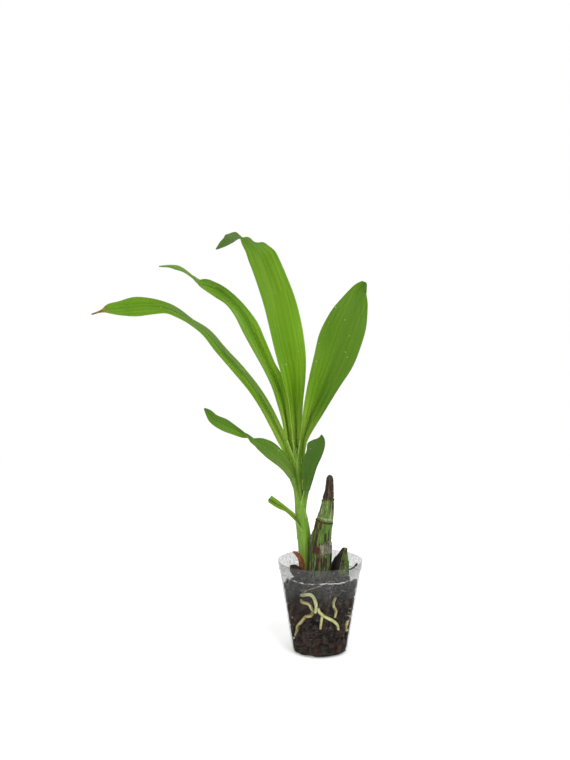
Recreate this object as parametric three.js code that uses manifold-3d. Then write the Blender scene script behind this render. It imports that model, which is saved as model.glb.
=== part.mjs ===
// Potted catasetum orchid: a clear pot of bark mix that holds three growths on one rhizome.
// Millimetres, +Z up. The origin is the centre of the pot's underside, +X runs to the right of
// the front view and +Y runs away from it.
import * as THREE from 'three';
import Module from 'manifold-3d';

// Fits and wall thicknesses
const GAP = 0.35;
const BLADE_HALF = 0.35;
const SHEATH_HALF = 0.3;
const SHEATH_STAND = 0.8;

// Pot
const POT_HEIGHT = 77.5;
const POT_BASE_RADIUS = 22.6;
const POT_TAPER = 0.1565;
const POT_WALL = 0.9;
const POT_CORNER = 4;
const POT_SEGMENTS = 40;
const BAND_LOW = 70.4;
const BAND_STEP = 0.8;
const LIP = 0.45;
const DRAIN_COUNT = 5;
const DRAIN_RADIUS = 1.8;
const DRAIN_CIRCLE = 13;

// Bark mix
const MIX_SEGMENTS = 30;
const MIX_FLOOR = 1.4;
const MIX_WALL_TOP = 54;
const CHIP_COUNT = 12;
const ROOT_STEPS = 1.5;
const FACET = 0.1;

// Growths: rows are [x, y, z, half width across, half depth] up the middle line
const COLUMN = [
  [-11.2, 5, 59.2, 4.8, 4.8], [-11.4, 5, 63.5, 5.7, 5.7], [-11.7, 5, 76, 5.8, 5.8],
  [-12.6, 5, 89, 5.8, 5.7], [-14.1, 4, 102, 5.7, 5.6], [-15.5, 3, 112, 5.3, 5.2],
  [-15.9, 2.5, 117, 4.5, 4.5], [-16.2, 1.5, 127.5, 4.3, 4.3], [-17.6, 0.5, 140, 4.6, 4.3],
  [-18.8, 0.5, 153, 5.2, 3.9], [-20, 1, 163, 5.6, 3.2], [-21, 1.4, 169, 4.6, 2.2],
  [-21.4, 1.6, 172.5, 2.4, 1.1],
];
const OLD_BULB = [
  [-0.8, -5, 59.4, 5.8, 5.8], [-0.8, -5, 64, 8, 8], [0.2, -5, 78.5, 8.1, 8.1], [0.2, -5, 87, 8, 8],
  [0.6, -5, 95.5, 8.2, 8.2], [1.8, -5, 104, 7.5, 7.5], [3, -5, 110.5, 7.3, 7.3],
  [3.6, -5, 113.5, 6.9, 6.9], [5.1, -5, 120.5, 6.1, 6.1], [6.3, -5, 129, 4.9, 4.9],
  [7.2, -5, 137.5, 3.7, 3.7], [7.5, -5, 145, 3, 3], [7.6, -5, 148.4, 2.3, 2.3],
  [7.6, -5, 149.8, 0.9, 0.9],
];
const BACK_BULB = [
  [16, 6, 59.2, 6, 6], [16, 6, 64.5, 8, 7.6], [16.8, 6, 72, 7, 6.8], [17.8, 6, 77, 5.4, 5.4],
  [19.2, 6, 82, 3.4, 3.4], [20.2, 6, 85.4, 2.3, 2.3], [20.3, 6, 86, 1.6, 1.6],
];
const DEAD_ROOT = [[19, 6, 67, 0.9], [22, 5, 68.2, 0.8], [25, 4, 68.4, 0.7], [28, 4, 70, 0.7],
  [30.3, 4, 72.6, 0.9], [30.6, 4, 73.4, 0.6]];
const RHIZOME = [[-15, 3, 54.5, 2.4], [-11, 3, 55, 3.6], [0, -2, 55, 4], [9, 2, 55, 3.8],
  [16, 5, 55, 3.6], [20, 6, 54.6, 2.2]];

// Leaves: rows are [x, y, z, left half, right half, turn, fold] from base to tip. Turn rolls the
// blade about its midrib in degrees from face-on, fold raises each half from flat, and the first
// two rows are the sheath that stays on the growth. An eighth value, where a leaf has it, leans
// both halves towards the tip in degrees.
const LEAVES = {
  leaf_1: {
    rows: [
      [-25, 0, 163, 3, 3, 0, 45], [-31, -3, 178, 5.5, 6.6, 0, 50], [-38.9, -6, 195, 5.9, 7.1, 0, 46],
      [-46.1, -8, 208.9, 5.7, 7.1, 0, 44], [-55.2, -10, 223.4, 5.6, 6.5, 0, 43],
      [-68, -12, 239.5, 5.8, 6.9, 0, 42], [-80.6, -14, 253.9, 5.2, 6.7, 0, 42],
      [-91.7, -15.5, 267.3, 3.9, 5.6, 0, 40], [-103.7, -17, 276.3, 2.9, 4.4, 0, 40],
      [-112.8, -18, 283, 4.4, 4.8, 0, 38], [-121.9, -19, 287.3, 4.7, 5.3, 0, 28],
      [-134, -20, 289.3, 7, 6.7, 0, 18], [-147, -21, 289, 8, 8, 0, 14],
      [-159.5, -21, 287.9, 6.1, 5.7, 0, 14], [-168, -21, 287, 3.7, 4.3, 0, 12],
      [-174, -21, 285.3, 1.2, 1.2, 0, 8], [-182, -21, 282.7, 0.5, 0.5, 0, 4],
    ],
    sheath: 1, steps: 28,
  },
  leaf_2: {
    rows: [
      [-23.5, 2, 164, 3, 3, 0, 45], [-26, 4, 177, 5.5, 7, 0, 60], [-28.2, 7, 193, 7, 9, 0, 60],
      [-31.5, 10, 209.5, 8.1, 10.5, 0, 55], [-36, 13, 223, 7, 11.5, 0, 50],
      [-43.3, 16, 237, 5.9, 9.4, 0, 44], [-51.2, 19, 253.4, 7.7, 10.7, 0, 42],
      [-58.5, 21, 267.5, 7.8, 11.3, 0, 40], [-65.8, 22, 280.1, 6.7, 9.5, 0, 40],
      [-73.8, 23, 289.2, 5.3, 8.4, 0, 38], [-82.3, 24, 296.7, 6.7, 7.2, 0, 36],
      [-91.1, 25, 301.1, 6, 6.2, -10, 34], [-99.6, 26, 303.1, 5.2, 4.2, -55, 30],
      [-104.6, 27, 307.8, 3.4, 3.4, -90, 26], [-110.6, 28, 311.9, 3.2, 2.8, -112, 22],
      [-117.3, 28, 315.1, 3.5, 3.3, -128, 18], [-123.5, 28, 317.2, 1.7, 1.7, -140, 12],
      [-132.3, 28, 317.4, 0.5, 0.5, -150, 4],
    ],
    sheath: 1, steps: 28,
  },
  leaf_3: {
    rows: [
      [-19.2, 4, 166, 3, 3, 0, 45], [-19.6, 5, 177, 7, 7, 0, 64], [-20, 7, 193, 9, 9.6, 0, 60],
      [-21, 9, 209.5, 9.5, 11.5, 0, 52], [-22.5, 10, 226, 11, 14, 0, 44],
      [-24.9, 11, 241.9, 12, 15.8, 0, 34], [-28.6, 11, 258.4, 11.8, 17.2, 0, 28],
      [-32.2, 12, 274.9, 11.6, 17.4, 0, 24], [-36.1, 13, 291, 11.5, 16.3, 0, 20],
      [-41, 16, 307, 11.7, 14.5, 0, 18], [-46.6, 21, 321.3, 11.2, 13.4, 0, 16],
      [-51.4, 27, 330, 12.6, 10.2, -40, 14], [-57.6, 34, 335.2, 12.8, 10.4, -70, 12],
      [-64.5, 42, 339.2, 11.8, 10.8, -96, 12], [-71, 49, 338.8, 10.2, 10, -112, 12],
      [-76.2, 53, 336.2, 6.4, 6.4, -122, 12], [-81.3, 55, 333.2, 4.6, 4.6, -128, 10],
      [-86.8, 56, 329.8, 0.6, 0.6, -130, 4],
    ],
    sheath: 1, steps: 28,
  },
  leaf_4: {
    rows: [
      [-16.4, 0, 164.5, 3, 3, 0, 45], [-14, 0, 178, 7, 6.4, 0, 62],
      [-9.5, -1, 194.5, 10.5, 10.9, 0, 54], [-3.5, -2, 211, 13.4, 12.8, 0, 42],
      [2.7, -2, 227.7, 15.5, 15.7, 0, 32], [8.8, -1, 243.8, 16.6, 18.8, 0, 24],
      [14.4, 1, 259.8, 18, 19.3, 0, 20], [20.2, 4, 275.6, 15.3, 17.9, 0, 17],
      [26.4, 9, 289.6, 10, 12.4, 0, 15], [31.1, 15, 298.5, 6.2, 6.8, 0, 14],
      [34.1, 18, 301.4, 5.3, 5.9, -20, 14], [36.2, 22, 303.4, 2.3, 2.2, -20, 12],
      [36.2, 24, 304.8, 0.8, 0.8, -20, 8],
    ],
    sheath: 1, steps: 24,
  },
  leaf_5: {
    rows: [
      [-17.6, -6, 142.3, 3.5, 3.5, 165, 48], [-21.7, -9, 149, 8.2, 5.6, 165, 52],
      [-26.6, -12, 157.5, 7.1, 6.3, 165, 44], [-32.2, -15, 164.7, 8, 7.1, 165, 38],
      [-39.5, -18, 171.4, 9, 7.2, 165, 34], [-46.4, -21, 177.7, 6.6, 6.1, 160, 32],
      [-51.7, -23, 181.1, 5, 3.7, 140, 30], [-56, -24, 184.7, 4.1, 4.1, 96, 28],
      [-60.9, -25, 188, 4.9, 4.9, 50, 26], [-68.3, -26, 191.5, 4.8, 4.2, 20, 24],
      [-77.2, -27, 195.4, 5.3, 5.3, 0, 20], [-85.2, -28, 199.8, 4.3, 4.5, 0, 18],
      [-89.8, -28, 205, 2.6, 3.2, 0, 16], [-93, -28, 208.5, 0.6, 0.6, 0, 4],
    ],
    sheath: 1, steps: 22,
  },
  leaf_6: {
    rows: [
      [-11.6, -1, 127, 2.6, 2.6, 60, 48, 0], [-9.4, -2.6, 136.7, 5.6, 7.2, 80, 50, 0],
      [-6.6, -4, 146, 9.4, 10.4, 86, 57, 0], [-3.6, -5, 156, 11.6, 13.4, 88, 60, 0],
      [0.6, -5.6, 165.5, 13.2, 17.2, 86, 58, 0], [2.7, -5.6, 172, 13.4, 17.8, 80, 58, 4],
      [3.2, -5.3, 176.6, 10.4, 14, 74, 58, 11], [2.6, -5, 180.1, 4.6, 7.2, 70, 56, 18],
      [0.7, -4.4, 183, 0.6, 0.6, 70, 54, 18],
    ],
    sheath: 1, steps: 14,
  },
  leaf_7: {
    rows: [
      [-16.2, 0.5, 108.5, 2.6, 2, -30, 40], [-24.2, -6, 117.5, 4.6, 2.9, -30, 50],
      [-29.4, -8.5, 122.5, 4.3, 2.7, -30, 50], [-35.2, -11, 126.4, 5.2, 3.8, -28, 48],
      [-42.4, -12.4, 131.4, 4.3, 4.6, -25, 46],
    ],
    sheath: 0.6, steps: 6,
  },
};
const CUT_ORDER = ['leaf_6', 'leaf_5', 'leaf_7', 'leaf_4', 'leaf_3', 'leaf_2', 'leaf_1'];

// Roots: rows are [x, y, z, radius], first inside the mix and then down the clear wall
const ROOTS = [
  [[-11, 1, 55, 1.6], [-14, -10, 54, 1.4], [-15.5, -20, 53.4, 1.3], [-12.3, -26, 55.4, 1.3],
    [-8.2, -27.6, 55.8, 1.3], [-5.6, -27.7, 53, 1.3], [-4, -27.2, 48, 1.3], [-3.9, -26.6, 44, 1.2],
    [-4.6, -25.6, 40, 1]],
  [[-9, -1, 54, 1.6], [-14, -14, 52, 1.3], [-15.5, -22.7, 48.6, 1.2], [-10.1, -25.5, 47.4, 1.2],
    [-7.5, -25.8, 43.8, 1.2], [-6.4, -25.3, 40.6, 0.9]],
  [[-4, -2, 54, 1.6], [-5, -16, 48, 1.3], [-7, -24.6, 38.4, 1.3], [-12.2, -22.4, 35.7, 1.3],
    [-15.7, -19.2, 30.5, 1.3], [-18.4, -15.6, 26, 1.3], [-19.2, -13, 21, 1.2], [-20.6, -8.4, 15.8, 1]],
  [[3, -2, 54, 1.6], [-1, -16, 49, 1.3], [-1.6, -26.2, 42, 1.2], [1.4, -25.9, 38.6, 1.3],
    [5.4, -25, 35.6, 1.3], [9.6, -23.2, 32.9, 1.3], [13.4, -20.5, 28.8, 1.2], [14.6, -18.6, 23.6, 1]],
  [[6, -2, 53.5, 1.4], [2, -18, 43, 1.2], [0.8, -25.4, 35.2, 1.1], [0.2, -24.8, 31, 1.1],
    [-0.2, -24, 26, 0.9]],
  [[12, 2, 54.5, 1.6], [13, -14, 54, 1.3], [11.2, -25.5, 51, 1.2], [10.4, -25.1, 45.8, 1.1],
    [12.4, -23.4, 41, 1.1], [11.6, -22.8, 35.4, 0.9]],
  [[18, 5, 54, 1.6], [24, -4, 44, 1.3], [23, -7, 30, 1.3], [20.5, -11, 21.6, 1.2],
    [22.6, -6, 19.6, 1]],
  [[14, 6, 54, 1.6], [16, 18, 48, 1.3], [14, 22.6, 38, 1.3], [8, 24, 32, 1.3], [4, 23.4, 24, 1.2],
    [2, 22.4, 17, 1]],
  [[-10, 4, 54, 1.6], [-14, 18, 50, 1.3], [-16, 22.2, 44, 1.3], [-20.4, 16.4, 36, 1.2],
    [-22, 11.6, 28, 1]],
];

const wasm = await Module();
wasm.setup();

// Repeatable scatter between 0 and 1 from two whole numbers
function scatter(a, b) {
  const s = Math.sin(a * 127.1 + b * 311.7) * 43758.5453;
  return s - Math.floor(s);
}

function solid(points, faces) {
  const vertProperties = new Float32Array(points.flat());
  const triVerts = new Uint32Array(faces.flat());
  return new wasm.Manifold(new wasm.Mesh({ numProp: 3, vertProperties, triVerts }));
}

function join(bodies) {
  return bodies.reduce((whole, body) => whole.add(body));
}

function largest(body) {
  return body.decompose().reduce((best, piece) => (piece.volume() > best.volume() ? piece : best));
}

// Passes a smooth curve through every row, one row to each whole step
function along(rows, s) {
  const last = rows.length - 1;
  const i = Math.min(Math.floor(s), last - 1);
  const t = s - i;
  return rows[0].map((_, k) => {
    const p1 = rows[i][k];
    const p2 = rows[i + 1][k];
    const p0 = i > 0 ? rows[i - 1][k] : 2 * p1 - p2;
    const p3 = i + 2 <= last ? rows[i + 2][k] : 2 * p2 - p1;
    const b = p2 - p0;
    const c = 2 * p0 - 5 * p1 + 4 * p2 - p3;
    const d = -p0 + 3 * p1 - 3 * p2 + p3;
    return 0.5 * (2 * p1 + b * t + c * t * t + d * t * t * t);
  });
}

function tangent(rows, s) {
  const step = 0.001;
  const a = along(rows, Math.max(s - step, 0));
  const b = along(rows, Math.min(s + step, rows.length - 1));
  return new THREE.Vector3(b[0] - a[0], b[1] - a[1], b[2] - a[2]).normalize();
}

// Closes a stack of equal rings with a fan at each end
function stack(rings) {
  const n = rings[0].length;
  const points = rings.flat();
  const faces = [];
  const middle = (ring) => [0, 1, 2].map((k) => ring.reduce((sum, p) => sum + p[k], 0) / n);
  for (let i = 0; i + 1 < rings.length; i += 1) {
    for (let j = 0; j < n; j += 1) {
      const a = i * n + j;
      const b = i * n + ((j + 1) % n);
      faces.push([a, b, b + n], [a, b + n, a + n]);
    }
  }
  const low = points.push(middle(rings[0])) - 1;
  const high = points.push(middle(rings[rings.length - 1])) - 1;
  const top = (rings.length - 1) * n;
  for (let j = 0; j < n; j += 1) {
    faces.push([low, (j + 1) % n, j], [high, top + j, top + ((j + 1) % n)]);
  }
  return solid(points, faces);
}

// Upright growth: a level ring of half width by half depth at every row
function growth(rows, sides, extra = 0) {
  const rings = rows.map(([x, y, z, across, deep], i) => {
    const end = i === 0 ? -extra : i === rows.length - 1 ? extra : 0;
    const ring = [];
    for (let j = 0; j < sides; j += 1) {
      const a = (2 * Math.PI * j) / sides;
      ring.push([x + (across + extra) * Math.cos(a), y + (deep + extra) * Math.sin(a), z + end]);
    }
    return ring;
  });
  return stack(rings);
}

// Draws a point of the given radius in from the wall of the pot
function insideWall(x, y, z, radius) {
  const most = POT_BASE_RADIUS + POT_TAPER * z - POT_WALL - GAP - FACET - radius;
  const share = Math.min(1, most / Math.hypot(x, y));
  return new THREE.Vector3(x * share, y * share, z);
}

// Round rod through rows of [x, y, z, radius]
function rod(rows, sides, steps, extra = 0, walled = false) {
  const rings = [];
  let side = new THREE.Vector3(0.3, 0.2, 1).normalize();
  for (let i = 0; i <= steps; i += 1) {
    const s = ((rows.length - 1) * i) / steps;
    const [x, y, z, radius] = along(rows, s);
    const t = tangent(rows, s);
    side = side.clone().addScaledVector(t, -side.dot(t)).normalize();
    const up = new THREE.Vector3().crossVectors(t, side);
    const end = i === 0 ? -extra : i === steps ? extra : 0;
    const ring = [];
    for (let j = 0; j < sides; j += 1) {
      const a = (2 * Math.PI * j) / sides;
      const p = walled ? insideWall(x, y, z, radius) : new THREE.Vector3(x, y, z);
      p.addScaledVector(t, end);
      p.addScaledVector(side, (radius + extra) * Math.cos(a));
      p.addScaledVector(up, (radius + extra) * Math.sin(a));
      ring.push(p.toArray());
    }
    rings.push(ring);
  }
  return stack(rings);
}

function root(rows, extra = 0) {
  return rod(rows, 6, Math.round(ROOT_STEPS * (rows.length - 1)), extra, true);
}

// Turns a grid of points into a sheet of even thickness, split alike on both faces
function sheet(grid, half) {
  const rows = grid.length;
  const cols = grid[0].length;
  const at = (i, j) => i * cols + j;
  const quads = [];
  for (let i = 0; i + 1 < rows; i += 1) {
    for (let j = 0; j + 1 < cols; j += 1) {
      quads.push([at(i, j), at(i, j + 1), at(i + 1, j + 1)], [at(i, j), at(i + 1, j + 1), at(i + 1, j)]);
    }
  }
  const flat = grid.flat();
  const around = flat.map(() => []);
  quads.forEach((tri) => {
    const [a, b, c] = tri.map((k) => flat[k]);
    const normal = new THREE.Vector3().crossVectors(b.clone().sub(a), c.clone().sub(a)).normalize();
    tri.forEach((k) => around[k].push(normal));
  });
  const offset = around.map((normals) => {
    const mean = normals.reduce((sum, n) => sum.add(n), new THREE.Vector3()).normalize();
    const lean = Math.min(...normals.map((n) => n.dot(mean)));
    return mean.multiplyScalar(half / Math.max(lean, 0.3));
  });
  const front = flat.map((p, k) => p.clone().add(offset[k]).toArray());
  const back = flat.map((p, k) => p.clone().sub(offset[k]).toArray());
  const count = flat.length;
  const faces = quads.flatMap(([a, b, c]) => [[a, b, c], [a + count, c + count, b + count]]);
  const rim = [];
  for (let j = 0; j < cols - 1; j += 1) rim.push(at(0, j));
  for (let i = 0; i < rows - 1; i += 1) rim.push(at(i, cols - 1));
  for (let j = cols - 1; j > 0; j -= 1) rim.push(at(rows - 1, j));
  for (let i = rows - 1; i > 0; i -= 1) rim.push(at(i, 0));
  rim.forEach((a, k) => {
    const b = rim[(k + 1) % rim.length];
    faces.push([b, a, a + count], [b, a + count, b + count]);
  });
  return solid([...front, ...back], faces);
}

// Leaf blade between two places on its midrib, with a small wave along both margins
function blade(leaf, from, to, steps, half, widen = 0) {
  const { rows } = leaf;
  const strips = 3;
  const grid = [];
  for (let i = 0; i <= steps; i += 1) {
    const s = from + ((to - from) * i) / steps;
    const [x, y, z, left, right, turn, fold, lean = 0] = along(rows, s);
    const t = tangent(rows, s);
    const across = new THREE.Vector3(0, 1, 0).cross(t).normalize();
    const face = new THREE.Vector3().crossVectors(across, t);
    const roll = THREE.MathUtils.degToRad(turn);
    const side = across.clone().multiplyScalar(Math.cos(roll)).addScaledVector(face, Math.sin(roll));
    const normal = new THREE.Vector3().crossVectors(side, t);
    const slope = Math.tan(THREE.MathUtils.degToRad(lean));
    const row = [new THREE.Vector3(x, y, z)];
    [-1, 1].forEach((hand) => {
      const width = Math.max(hand < 0 ? left : right, 0.5) + widen;
      const wave = 0.06 * width * Math.sin(2.3 * s + 1.3 * hand);
      let out = 0;
      let rise = 0;
      for (let j = 1; j <= strips; j += 1) {
        const angle = THREE.MathUtils.degToRad(fold * (1.25 - (0.5 * (j - 0.5)) / strips));
        out += (width / strips) * Math.cos(angle);
        rise += (width / strips) * Math.sin(angle);
        const p = new THREE.Vector3(x, y, z).addScaledVector(side, hand * out);
        p.addScaledVector(normal, rise + wave * (j / strips) ** 2);
        p.addScaledVector(t, (slope * width * j) / strips);
        if (hand < 0) row.unshift(p);
        else row.push(p);
      }
    });
    grid.push(row);
  }
  return sheet(grid, half);
}

function makePot() {
  const outer = (z) => POT_BASE_RADIUS + POT_TAPER * z;
  const cornerX = outer(POT_CORNER) - POT_CORNER;
  const profile = [[cornerX, 0]];
  const arc = (radius, order) => order.map((k) => {
    const a = THREE.MathUtils.degToRad(k);
    return [cornerX + radius * Math.sin(a), POT_CORNER - radius * Math.cos(a)];
  });
  profile.push(...arc(POT_CORNER, [25, 50, 75, 90]));
  const bandOut = outer(BAND_LOW) + BAND_STEP;
  const topOut = outer(POT_HEIGHT) + BAND_STEP - 0.6;
  profile.push([outer(40), 40], [outer(BAND_LOW), BAND_LOW], [bandOut, BAND_LOW + 0.7]);
  profile.push([topOut, POT_HEIGHT - LIP], [topOut - LIP, POT_HEIGHT]);
  profile.push([topOut - POT_WALL, POT_HEIGHT - LIP]);
  profile.push([bandOut - POT_WALL, BAND_LOW + 0.9], [outer(BAND_LOW) - POT_WALL, BAND_LOW + 0.2]);
  profile.push([outer(40) - POT_WALL, 40], ...arc(POT_CORNER - POT_WALL, [90, 75, 50, 25, 0]));
  const rings = profile.map(([r, z]) => {
    const ring = [];
    for (let j = 0; j < POT_SEGMENTS; j += 1) {
      const a = (2 * Math.PI * j) / POT_SEGMENTS;
      ring.push([r * Math.cos(a), r * Math.sin(a), z]);
    }
    return ring;
  });
  const drains = [];
  for (let k = 0; k < DRAIN_COUNT; k += 1) {
    const a = (2 * Math.PI * (k + 0.5)) / DRAIN_COUNT;
    const x = DRAIN_CIRCLE * Math.cos(a);
    const y = DRAIN_CIRCLE * Math.sin(a);
    drains.push(rod([[x, y, -1, DRAIN_RADIUS], [x, y, 3, DRAIN_RADIUS]], 12, 1));
  }
  return stack(rings).subtract(join(drains));
}

// Mound of bark mix inside the pot, roughened in its rings and topped with chips
function makeMix() {
  const wall = (z) => POT_BASE_RADIUS + POT_TAPER * z - POT_WALL - GAP;
  const profile = [[9, MIX_FLOOR], [18, MIX_FLOOR], [21, 3.6]];
  for (let z = 8; z < MIX_WALL_TOP - 4; z += 10.5) {
    profile.push([wall(z), z]);
  }
  const sideRings = profile.length;
  profile.push([wall(MIX_WALL_TOP), MIX_WALL_TOP], [26.5, 57.5], [22, 60.5], [17, 63], [11.5, 64.6]);
  profile.push([5.5, 65.4]);
  const rings = profile.map(([r, z], i) => {
    const ring = [];
    for (let j = 0; j < MIX_SEGMENTS; j += 1) {
      const a = (2 * Math.PI * j) / MIX_SEGMENTS;
      const side = i < sideRings;
      const dent = side && i > 2 ? 0.7 * scatter(i, j) : 0;
      const lift = side ? 0 : 2.4 * (scatter(i, j) - 0.5);
      ring.push([(r - dent) * Math.cos(a), (r - dent) * Math.sin(a), z + lift]);
    }
    return ring;
  });
  const chips = [];
  for (let k = 0; k < CHIP_COUNT; k += 1) {
    const a = k * 2.4;
    const r = 7 + 15.5 * Math.sqrt(scatter(k, 7));
    const chip = new THREE.IcosahedronGeometry(1, 0);
    chip.scale(3.6 + 1.6 * scatter(k, 1), 2.6 + scatter(k, 2), 1.5 + scatter(k, 3));
    chip.rotateX(0.9 * (scatter(k, 4) - 0.5));
    chip.rotateZ(6.28 * scatter(k, 5));
    chip.translate(r * Math.cos(a), r * Math.sin(a), 64.6 - Math.max(r - 13, 0) * 0.6);
    chips.push(fromGeometry(chip));
  }
  const wedge = new THREE.IcosahedronGeometry(1, 0);
  wedge.scale(4.2, 2.2, 8.6);
  wedge.rotateY(-0.35);
  wedge.translate(-20.5, -11, 69.4);
  return join([stack(rings), ...chips, fromGeometry(wedge)]);
}

// Welds equal corners of a convex lump and makes it a solid
function fromGeometry(geometry) {
  const position = geometry.getAttribute('position');
  const points = [];
  const seen = new Map();
  const index = [];
  for (let i = 0; i < position.count; i += 1) {
    const p = [position.getX(i), position.getY(i), position.getZ(i)];
    const key = p.map((v) => v.toFixed(4)).join(' ');
    if (!seen.has(key)) seen.set(key, points.push(p) - 1);
    index.push(seen.get(key));
  }
  const faces = [];
  for (let i = 0; i < index.length; i += 3) {
    faces.push([index[i], index[i + 1], index[i + 2]]);
  }
  return solid(points, faces);
}

// Height at an angle, straight between the pairs of a table
function heightAt(table, angle) {
  const k = Math.max(table.findIndex(([a]) => a > angle), 1);
  const [a0, z0] = table[k - 1];
  const [a1, z1] = table[k];
  return z0 + ((z1 - z0) * Math.min(Math.max(angle - a0, 0), a1 - a0)) / (a1 - a0);
}

// Dry sheath that wraps part of a growth, with a ragged top edge
function wrap(rows, { low, tops, ragged, start, sweep, steps, levels }) {
  const grid = [];
  for (let i = 0; i <= levels; i += 1) {
    const row = [];
    for (let j = 0; j <= steps; j += 1) {
      const turn = start + (sweep * j) / steps;
      const a = THREE.MathUtils.degToRad(turn);
      const top = heightAt(tops, turn) + ragged * (scatter(j, 3) - 0.5) * 2;
      const z = low + ((top - low) * i) / levels;
      const [x, y, across, deep] = atHeight(rows, z);
      const reach = SHEATH_STAND;
      row.push(new THREE.Vector3(
        x + (across + reach) * Math.cos(a),
        y + (deep + reach) * Math.sin(a),
        z,
      ));
    }
    grid.push(row);
  }
  return sheet(grid, SHEATH_HALF);
}

// Middle and half widths of a growth at a height, straight between its rows
function atHeight(rows, z) {
  const k = Math.max(rows.findIndex((row) => row[2] > z), 1);
  const t = (z - rows[k - 1][2]) / (rows[k][2] - rows[k - 1][2]);
  const [x, y, , across, deep] = rows[k].map((v, n) => rows[k - 1][n] + (v - rows[k - 1][n]) * t);
  return [x, y, across, deep];
}

// Sheaths: tops are [angle, height] round the growth, with 0 to the right and 270 to the viewer
const OLD_SHEATH = {
  low: 64.6, ragged: 1.2, start: 140, sweep: 285, steps: 24, levels: 4,
  tops: [
    [140, 88], [175, 99], [208, 104], [225, 92], [256, 88], [264, 93.5], [290, 96], [322, 96], [352, 90],
    [426, 88],
  ],
};
const BACK_SHEATH = {
  low: 64.6, ragged: 1.2, start: 95, sweep: 180, steps: 12, levels: 2,
  tops: [[95, 72], [150, 76], [210, 80], [250, 82], [276, 79]],
};
const BRACT = {
  rows: [
    [-14.4, -7.4, 60.5, 2.4, 2.4, 20, 20], [-14.2, -7.8, 71, 3, 3, 20, 25], [-15, -8.6, 78, 3, 3, 15, 30],
    [-17.2, -10, 83, 2.4, 2.4, 0, 30], [-20, -11.6, 86, 1.6, 1.6, -10, 20],
    [-22.6, -12, 87.6, 0.6, 0.6, -10, 5],
  ],
};

const stubs = {};
const blades = {};
const thickBlades = {};
Object.entries(LEAVES).forEach(([name, leaf]) => {
  const last = leaf.rows.length - 1;
  const share = new THREE.Vector3(...leaf.rows[1]).distanceTo(new THREE.Vector3(...leaf.rows[0]));
  const start = leaf.sheath + GAP / share;
  stubs[name] = blade(leaf, 0, leaf.sheath, 2, BLADE_HALF);
  blades[name] = blade(leaf, start, last, leaf.steps, BLADE_HALF);
  thickBlades[name] = blade(leaf, start, last, leaf.steps, BLADE_HALF + GAP, GAP);
});
const column = growth(COLUMN, 12);
const newGrowth = join([column, ...Object.values(stubs)]);
const thickColumn = growth(COLUMN, 12, GAP);
const cutBlades = {};
CUT_ORDER.forEach((name, k) => {
  let body = blades[name].subtract(thickColumn);
  Object.entries(LEAVES).forEach(([other, leaf]) => {
    if (other === name) return;
    body = body.subtract(blade(leaf, 0, leaf.sheath, 3, BLADE_HALF + GAP, GAP));
  });
  CUT_ORDER.slice(0, k).forEach((earlier) => {
    body = body.subtract(thickBlades[earlier]);
  });
  cutBlades[name] = largest(body);
});

const oldBulb = growth(OLD_BULB, 14);
const backBulb = join([growth(BACK_BULB, 14), rod(DEAD_ROOT, 6, 10)]);
const roots = join([rod(RHIZOME, 10, 12), ...ROOTS.map((rows) => root(rows))]);
const bract = blade(BRACT, 0, BRACT.rows.length - 1, 10, SHEATH_HALF);
const sheathRoom = SHEATH_STAND + SHEATH_HALF + GAP;
const planted = [
  thickColumn,
  growth(OLD_BULB, 14, sheathRoom),
  growth(BACK_BULB, 14, sheathRoom),
  rod(DEAD_ROOT, 6, 10, GAP),
  rod(RHIZOME, 10, 12, GAP),
  ...ROOTS.map((rows) => root(rows, GAP)),
  blade(BRACT, 0, BRACT.rows.length - 1, 10, SHEATH_HALF + GAP, GAP),
];
const mix = largest(makeMix().subtract(join(planted)));

const group = new THREE.Group();

function place(name, body, color, roughness) {
  const mesh = body.getMesh();
  const geometry = new THREE.BufferGeometry();
  geometry.setAttribute('position', new THREE.BufferAttribute(new Float32Array(mesh.vertProperties), 3));
  geometry.setIndex(Array.from(mesh.triVerts));
  geometry.computeVertexNormals();
  const material = new THREE.MeshStandardMaterial({ color, roughness, metalness: 0 });
  const item = new THREE.Mesh(geometry, material);
  item.name = name;
  group.add(item);
}

place('pot', makePot(), 0xd2d8da, 0.12);
place('bark_mix', mix, 0x3a2a22, 0.9);
place('roots', roots, 0xa9a58a, 0.7);
place('new_growth', newGrowth, 0x7f9a45, 0.45);
Object.keys(LEAVES).forEach((name) => place(name, cutBlades[name], 0x4f7f22, 0.45));
place('old_pseudobulb', oldBulb, 0x6c7a45, 0.6);
place('old_sheath', wrap(OLD_BULB, OLD_SHEATH), 0xa39a8a, 0.75);
place('back_pseudobulb', backBulb, 0x7b7a42, 0.6);
place('back_sheath', wrap(BACK_BULB, BACK_SHEATH), 0x2c211b, 0.75);
place('bract', bract, 0x9a5a2c, 0.7);

export default group;
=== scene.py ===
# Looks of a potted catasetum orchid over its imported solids: a clear pot of bark mix with three growths.
# Shapes are worked out in millimetres and become metres where a mesh is made.
import math

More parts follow.
